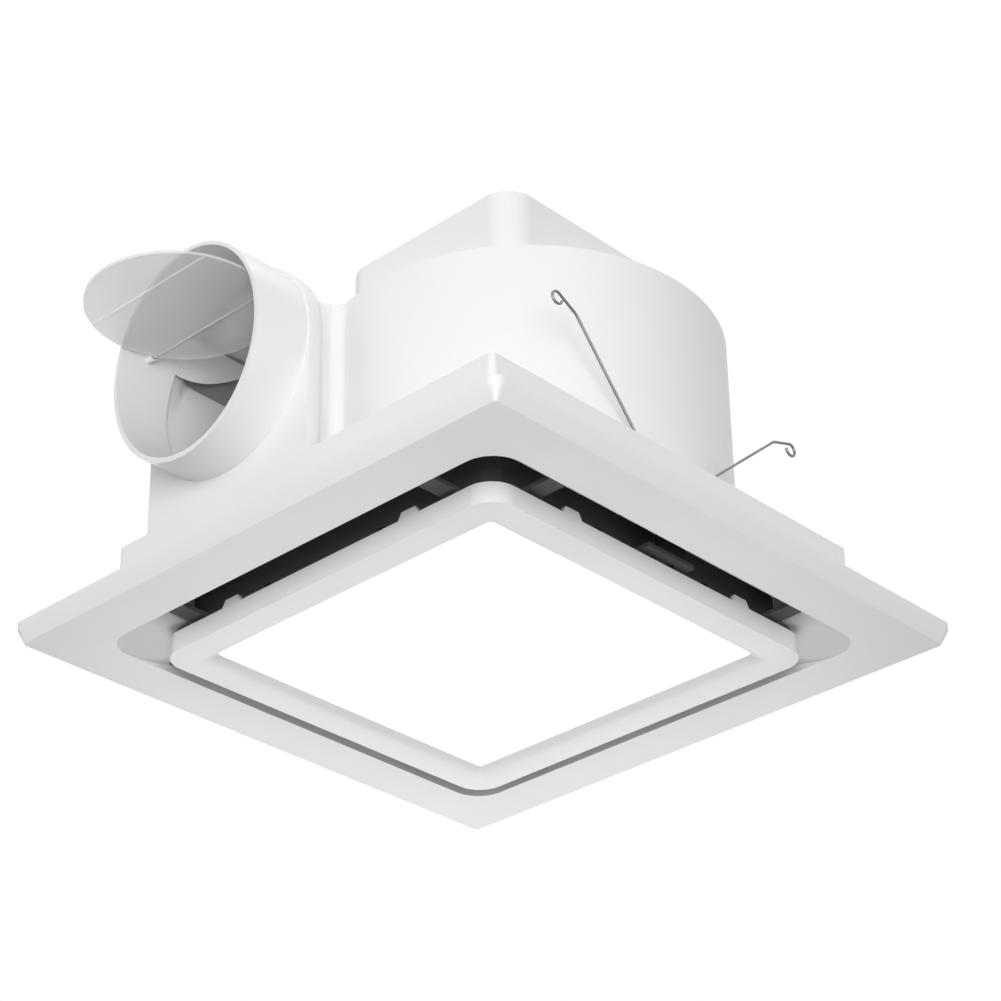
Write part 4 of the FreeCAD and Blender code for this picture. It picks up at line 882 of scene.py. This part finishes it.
@dataclass
class SubAssembly:
    """What every sub-assembly shares: the dresser, and ways to dress nodes and add pieces."""

    dresser: Dresser

    def build(self) -> None:
        """Build and dress the sub-assembly."""
        raise NotImplementedError

    def dress(self, finish: Finish, *names: str, edge: float = 0.0) -> None:
        """Dress CAD nodes whose shape stays.

        Args:
            finish: What they are finished in.
            *names: The nodes' names.
            edge: How far their sharp edges are rounded, in millimetres.
        """
        for name in names:
            node = frame["nodes"][name]
            self.dresser.paint(node, finish)
            if edge > 0.0:
                soften(node, edge)
            LOG.info("dressed %s in %s", name, finish.name)

    def add_piece(
        self, shaper: Shaper, name: str, body: str, slot: str, finish: Finish
    ) -> bpy.types.Object:
        """Add a new piece that rides on a body.

        Args:
            shaper: The piece's mesh.
            name: The piece's name.
            body: The body that it rides on.
            slot: The record's material slot; not used.
            finish: What it is finished in.

        Returns:
            The new piece.
        """
        piece = shaper.finish(name)
        self.dresser.paint(piece, finish)
        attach(piece, body)
        LOG.info("built %s on %s", name, body)
        return piece

    def drive_screws(
        self, node_name: str, finish: Finish, slot: str, head: HeadSide = HeadSide.TOP
    ) -> None:
        """Put cross-recess screws in the place of a node's plain ones.

        Args:
            node_name: The node that holds the plain screws.
            finish: What they are finished in.
            slot: The record's material slot.
            head: Which end their heads are at.
        """
        node = frame["nodes"][node_name]
        shaper = Shaper()
        for number, box in enumerate(solid_boxes(node)):
            CrossScrew().add(shaper, box, head, number)
        piece = self.add_piece(shaper, f"{node_name}_cross", body_of(node)[0], slot, finish)
        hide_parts(node_name)


@dataclass
class FanHouse(SubAssembly):
    """The tray in the ceiling, the scroll-shaped fan house on it and the inlet ring below."""

    tray_edge: float = 0.5
    house_edge: float = 0.6

    def build(self) -> None:
        """Dress the shells and drive their screws."""
        self.dress(HOUSING_WHITE, "base_tray", edge=self.tray_edge)
        self.dress(HOUSING_WHITE, "volute_shell", edge=self.house_edge)
        self.dress(HOUSING_WHITE, "inlet_ring")
        self.drive_screws("volute_screws", SCREW_STEEL, "screw_steel")
        self.drive_screws("inlet_screws", SCREW_STEEL, "screw_steel", HeadSide.BOTTOM)


@dataclass
class WiringBox(SubAssembly):
    """The wiring cover on the fan house, with the terminals, the capacitor and the cable gland."""

    cover_edge: float = 1.4

    def build(self) -> None:
        """Dress the cover and what it holds, and drive its screws."""
        self.dress(HOUSING_WHITE, "wiring_cover", edge=self.cover_edge)
        self.dress(FITTING_BLACK, "terminal_block", "cable_gland", "gland_nut")
        self.dress(TERMINAL_BRASS, "terminal_screws")
        self.dress(SHEET_ALUMINIUM, "capacitor")
        self.drive_screws("wiring_cover_screws", SCREW_STEEL, "screw_steel")


@dataclass
class DuctOutlet(SubAssembly):
    """The round duct collar with its flap, and the air vane and a dark sheet of painted shade
    inside the neck.
    """

    axis_y: float = 46.5
    axis_z: float = 102.0
    collar_edge: float = 0.4
    vane_radius: float = 48.4
    vane_wall: float = 0.9
    vane_front: float = -113.0
    vane_back: float = -78.0
    vane_low: float = 26.0
    vane_lift: float = 17.0
    vane_high: float = 48.0
    lift_start: float = 0.04
    lift_power: float = 2.2
    vane_steps: int = 22
    vane_strips: int = 10
    # The dark sheet of painted shade in the duct's corner: its thickness, its strips and the edges
    # it runs between.
    shade_sheet_wall: float = 0.5
    shade_sheet_strips: int = 4
    shade_sheet_outer: tuple[Place, ...] = (
        (-112.8, 91.4, 124.0), (-110.6, 91.0, 125.2), (-106.0, 92.8, 125.6),
        (-101.0, 96.0, 125.6), (-96.0, 96.6, 125.4), (-91.0, 96.8, 125.3), (-70.0, 96.8, 125.0),
    )
    shade_sheet_inner: tuple[Place, ...] = (
        (-112.8, 87.0, 130.3), (-110.6, 86.8, 130.5), (-106.0, 85.2, 132.4),
        (-101.0, 83.0, 134.8), (-96.0, 81.0, 137.2), (-91.0, 79.0, 138.6), (-70.0, 77.0, 138.6),
    )

    def build(self) -> None:
        """Dress the collar and the flap, and build the vane and the dark sheet of painted shade."""
        self.dress(HOUSING_WHITE, "duct_collar", edge=self.collar_edge)
        self.dress(FLAP_FILM, "damper_flap")
        self.dress(PLATED_STEEL, "damper_pin")
        self.build_vane()
        self.build_shade_sheet()

    def vane_face(self, radius: float) -> list[list[Place]]:
        """Give one face of the vane.

        Args:
            radius: How far the face is from the bore's axis.

        Returns:
            Rows of places round the bore, from the vane's front to its back.
        """
        rows = []
        for i in range(self.vane_steps + 1):
            run = i / self.vane_steps
            lift = max(0.0, run - self.lift_start) ** self.lift_power
            low = self.vane_low + self.vane_lift * lift
            x = self.vane_front + run * (self.vane_back - self.vane_front)
            row = []
            for j in range(self.vane_strips + 1):
                angle = math.radians(low + (self.vane_high - low) * j / self.vane_strips)
                y = self.axis_y + radius * math.cos(angle)
                row.append((x, y, self.axis_z + radius * math.sin(angle)))
            rows.append(row)
        return rows

    def build_vane(self) -> None:
        """Build the white vane that carries the collar's round bore on along the far wall."""
        shaper = Shaper()
        outer_radius = self.vane_radius + self.vane_wall
        shaper.leaf(self.vane_face(self.vane_radius), self.vane_face(outer_radius))
        self.add_piece(shaper, "duct_vane", Body.HOUSING.value, "housing_white", HOUSING_WHITE)

    def shade_sheet_face(self, lift: float) -> list[list[Place]]:
        """Give one face of the dark sheet of painted shade.

        Args:
            lift: How far the face lies above the strip's underside.

        Returns:
            Rows of places from the wall to the vane.
        """
        rows = []
        for start, end in zip(self.shade_sheet_outer, self.shade_sheet_inner):
            row = []
            for j in range(self.shade_sheet_strips + 1):
                x, y, z = (a + (b - a) * j / self.shade_sheet_strips for a, b in zip(start, end))
                row.append((x, y, z + lift))
            rows.append(row)
        return rows

    def build_shade_sheet(self) -> None:
        """Build the dark sheet of painted shade that closes the corner between the vane and the far
        wall.
        """
        shaper = Shaper()
        shaper.leaf(self.shade_sheet_face(0.0), self.shade_sheet_face(self.shade_sheet_wall))
        # The near-black sheet paints the shade of the gap under the vane's edge.
        self.add_piece(shaper, "duct_shade_sheet", Body.HOUSING.value, "rubber_black", SHADE_SHEET_DARK)


@dataclass
class Motor(SubAssembly):
    """The motor on its rubber mounts and the wheel that it turns."""

    def build(self) -> None:
        """Dress the motor, its mounts and the wheel, and drive its screws."""
        self.dress(PLATED_STEEL, "motor_plate", "motor_upper_can", "motor_lower_can")
        self.dress(PLATED_STEEL, "bearing_upper", "bearing_lower", "motor_shaft")
        self.dress(PLATED_STEEL, "impeller_washer", "impeller_nut")
        self.dress(RUBBER_BLACK, "rubber_mounts")
        self.dress(CORE_STEEL, "stator_core", "rotor_core")
        self.dress(COIL_COPPER, "stator_coils")
        self.dress(FAN_GREY, "impeller_wheel")
        self.drive_screws("motor_screws", SCREW_STEEL, "screw_steel", HeadSide.BOTTOM)


@dataclass
class FacePanel(SubAssembly):
    """The square face panel, the webs in its window's corners, whose grey is painted shade, and the
    dark carrier behind it, whose near-black is painted shade in the gap round the lamp.
    """

    panel_edge: float = 0.5
    window_half: float = 121.0
    window_corner: float = 15.0
    web_low: float = -9.6
    web_half: float = 101.6
    web_corner: float = 13.0
    web_reach: float = 38.0
    web_wall: float = 1.0
    web_rise: float = 5.6
    web_curl: float = 3.4
    web_turns: tuple[int, ...] = (1, 3)
    corner_steps: int = 10
    leg_steps: int = 8
    web_strips: int = 6

    def build(self) -> None:
        """Dress the panel and the carrier, build the webs and drive the screws."""
        self.dress(PANEL_WHITE, "face_panel", edge=self.panel_edge)
        # The carrier's near-black is painted shade in the gap round the lamp.
        self.dress(CARRIER_SHADE_BLACK, "lamp_carrier")
        self.drive_screws("carrier_screws", BLACKED_STEEL, "blacked_steel")
        self.build_webs()

    def corner_path(self, half: float, corner: float) -> list[Place]:
        """Give a path round the window's +X+Y corner.

        Args:
            half: Half the width of the square that the path follows.
            corner: The radius of its corner.

        Returns:
            Each station's x, y and how far along a leg it is: 0 at the corner, 1 at the leg's end.
        """
        end = self.window_half - self.web_reach
        start = half - corner
        shares = [i / self.leg_steps for i in range(self.leg_steps, 0, -1)]
        legs = [(start + (end - start) * share, share) for share in shares]
        path = [(half, along, share) for along, share in legs]
        for i in range(self.corner_steps + 1):
            angle = math.pi / 2 * i / self.corner_steps
            path.append((start + corner * math.cos(angle), start + corner * math.sin(angle), 0.0))
        return path + [(along, half, share) for along, share in reversed(legs)]

    def web_face(self, turn: int, lift: float) -> list[list[Place]]:
        """Give one face of a web.

        Args:
            turn: How many quarter turns the web's corner is from the +X+Y one.
            lift: How far the face lies above the web's underside.

        Returns:
            Rows of places, each from the window's edge to the web's inner edge.
        """
        outer_path = self.corner_path(self.window_half, self.window_corner)
        inner_path = self.corner_path(self.web_half, self.web_corner)
        rows = []
        for (x0, y0, share), (x1, y1, _) in zip(outer_path, inner_path):
            row = []
            for j in range(self.web_strips + 1):
                across = j / self.web_strips
                x, y = quarter_turns(x0 + (x1 - x0) * across, y0 + (y1 - y0) * across, turn)
                level = self.web_low + lift + self.web_rise * across + self.web_curl * share**2
                row.append((x, y, level))
            rows.append(row)
        return rows

    def build_webs(self) -> None:
        """Build the thin webs that close two of the window's corners behind the lamp; their grey is
        painted shade for those recessed corners.
        """
        shaper = Shaper()
        for turn in self.web_turns:
            shaper.leaf(self.web_face(turn, 0.0), self.web_face(turn, self.web_wall))
        self.add_piece(shaper, "window_webs", Body.PANEL.value, "panel_white", WEB_SHADE_GREY)


@dataclass
class LampUnit(SubAssembly):
    """The square lamp in the panel's window."""

    bezel_edge: float = 0.6

    def build(self) -> None:
        """Dress the lamp from its bezel up to its driver, and drive its screws."""
        self.dress(BEZEL_WHITE, "lamp_bezel", edge=self.bezel_edge)
        self.dress(OPAL, "lamp_diffuser")
        self.dress(CLEAR_GUIDE, "light_guide")
        self.dress(SHEET_WHITE, "reflector_sheet")
        self.dress(SHEET_ALUMINIUM, "led_strips", "lamp_back_plate")
        self.dress(PHOSPHOR, "led_chips")
        self.dress(FITTING_BLACK, "led_driver")
        self.drive_screws("lamp_screws", BLACKED_STEEL, "blacked_steel")


@dataclass
class SpringSet(SubAssembly):
    """The two V-shaped wire springs on their brackets."""

    ends: tuple[str, str] = ("front", "rear")
    sides: tuple[str, str] = ("left", "right")

    def build(self) -> None:
        """Dress the wires, the brackets and the pivots, and drive the brackets' screws."""
        for end in self.ends:
            self.dress(SPRING_STEEL, *(f"spring_leg_{end}_{side}" for side in self.sides))
            self.dress(BLACKED_STEEL, f"spring_bracket_{end}")
        self.dress(BLACKED_STEEL, "spring_pivots")
        self.drive_screws("bracket_screws", BLACKED_STEEL, "blacked_steel")


@dataclass(frozen=True)
class SoftLamp:
    """A square lamp: its place and the side of its face in metres, and its power in watts."""

    name: str
    place: Place
    side: float
    power: float


@dataclass
class Studio:
    """The photograph's camera, a pale floor and soft lamps."""

    azimuth: float = -46.851
    elevation: float = -30.1245
    roll: float = -0.8469
    offset: tuple[float, float] = (-7.088, -56.264)
    depth: float = 1293.223
    focal: float = 2863.707
    frame_width: float = 1001.0
    sensor: float = 36.0
    clip_range: tuple[float, float] = (0.05, 60.0)
    floor_level: float = -2.2
    floor_half: float = 6.0
    floor_cells: int = 8
    floor_tone: float = 0.5
    floor_roughness: float = 0.9
    floor_shown: float = 0.5
    world_level: float = 0.34
    aim: Place = (0.0, 0.0, 0.06)
    lamps: tuple[SoftLamp, ...] = (
        SoftLamp("key_front", (-1.65, -1.8, -0.4), 1.4, 39.0),
        SoftLamp("fill_left", (-2.4, -0.1, 0.1), 1.2, 8.0),
        SoftLamp("under_back", (0.55, 0.55, -0.5), 0.6, 3.4),
        SoftLamp("fill_back", (1.6, 1.9, 0.9), 1.4, 3.0),
        SoftLamp("top_soft", (0.2, 0.1, 2.2), 1.6, 16.0),
    )

    def build(self) -> None:
        """Set up the camera, the floor, the world and the lamps."""
        self.make_camera()
        self.make_floor()
        self.make_world()
        for lamp in self.lamps:
            self.hang_lamp(lamp)
        bpy.context.scene.view_settings.view_transform = "Standard"
        LOG.info("studio set")

    def make_camera(self) -> None:
        """Place the camera where the photograph was taken from."""
        turn, tilt, roll = map(math.radians, (self.azimuth, self.elevation, self.roll))
        across = math.cos(tilt)
        back = Vector((math.sin(turn) * across, -math.cos(turn) * across, math.sin(tilt)))
        level = Vector((math.cos(turn), math.sin(turn), 0.0))
        upright = back.cross(level)
        right = level * math.cos(roll) + upright * math.sin(roll)
        up = upright * math.cos(roll) - level * math.sin(roll)
        eye = (back * self.depth - right * self.offset[0] - up * self.offset[1]) * MM
        data = bpy.data.cameras.new("photo_camera")
        data.sensor_width = self.sensor
        data.lens = self.focal / self.frame_width * self.sensor
        data.clip_start, data.clip_end = self.clip_range
        camera = bpy.data.objects.new("photo_camera", data)
        camera.matrix_world = Matrix((right, up, back)).transposed().to_4x4()
        camera.location = eye
        bpy.context.scene.collection.objects.link(camera)
        bpy.context.scene.camera = camera

    def make_floor(self) -> None:
        """Lay a wide pale floor well under the object."""
        mesh = bpy.data.meshes.new("floor")
        shape = bmesh.new()
        cells = self.floor_cells
        bmesh.ops.create_grid(shape, x_segments=cells, y_segments=cells, size=self.floor_half)
        bmesh.ops.translate(shape, verts=shape.verts, vec=(0.0, 0.0, self.floor_level))
        shape.to_mesh(mesh)
        shape.free()
        floor = bpy.data.objects.new("floor", mesh)
        bpy.context.scene.collection.objects.link(floor)
        material = bpy.data.materials.new("floor_pale")
        material.use_nodes = True
        shader = material.node_tree.nodes["Principled BSDF"]
        shader.inputs["Base Color"].default_value = (*[self.floor_tone] * 3, 1.0)
        shader.inputs["Roughness"].default_value = self.floor_roughness
        shader.inputs["Emission Color"].default_value = WHITE
        shown = self.background_level(material.node_tree, 0.0, self.floor_shown)
        material.node_tree.links.new(shown, shader.inputs["Emission Strength"])
        mesh.materials.append(material)

    def make_world(self) -> None:
        """Show white behind the object and light it evenly at a plain level."""
        world = bpy.data.worlds.new("studio_world")
        world.use_nodes = True
        bpy.context.scene.world = world
        tree = world.node_tree
        background = tree.nodes["Background"]
        background.inputs["Color"].default_value = WHITE
        level = self.background_level(tree, self.world_level, 1.0)
        tree.links.new(level, background.inputs["Strength"])

    @staticmethod
    def background_level(
        tree: bpy.types.NodeTree, lit: float, shown: float
    ) -> bpy.types.NodeSocket:
        """Give one level to the light on the object and another to what is seen.

        Args:
            tree: The node tree of the floor or the world.
            lit: The level that lights the object.
            shown: The level that the camera, gloss and glass see.

        Returns:
            The socket that carries the level.
        """
        rays = tree.nodes.new("ShaderNodeLightPath").outputs
        seen = rays["Is Camera Ray"]
        for kind in ("Is Glossy Ray", "Is Transmission Ray"):
            either = {0: seen, 1: rays[kind]}
            seen = add_node(tree, "ShaderNodeMath", either, operation="MAXIMUM").outputs[0]
        links = {"Value": seen, "To Min": lit, "To Max": shown}
        return add_node(tree, "ShaderNodeMapRange", links).outputs[0]

    def hang_lamp(self, lamp: SoftLamp) -> None:
        """Hang one soft lamp that points at the object and isn't seen itself.

        Args:
            lamp: The lamp.
        """
        data = bpy.data.lights.new(lamp.name, "AREA")
        data.size = lamp.side
        data.energy = lamp.power
        thing = bpy.data.objects.new(lamp.name, data)
        thing.location = lamp.place
        way = Vector(self.aim) - Vector(lamp.place)
        thing.rotation_euler = way.to_track_quat("-Z", "Y").to_euler()
        thing.visible_camera = False
        bpy.context.scene.collection.objects.link(thing)


def main() -> None:
    """Build the scene, sub-assembly by sub-assembly."""
    logging.basicConfig(level=logging.INFO, format="%(name)s: %(message)s")
    Studio().build()
    dresser = Dresser()
    for kind in (FanHouse, WiringBox, DuctOutlet, Motor, FacePanel, LampUnit, SpringSet):
        kind(dresser).build()
        LOG.info("%s done", kind.__name__)


if __name__ == "__main__":
    main()
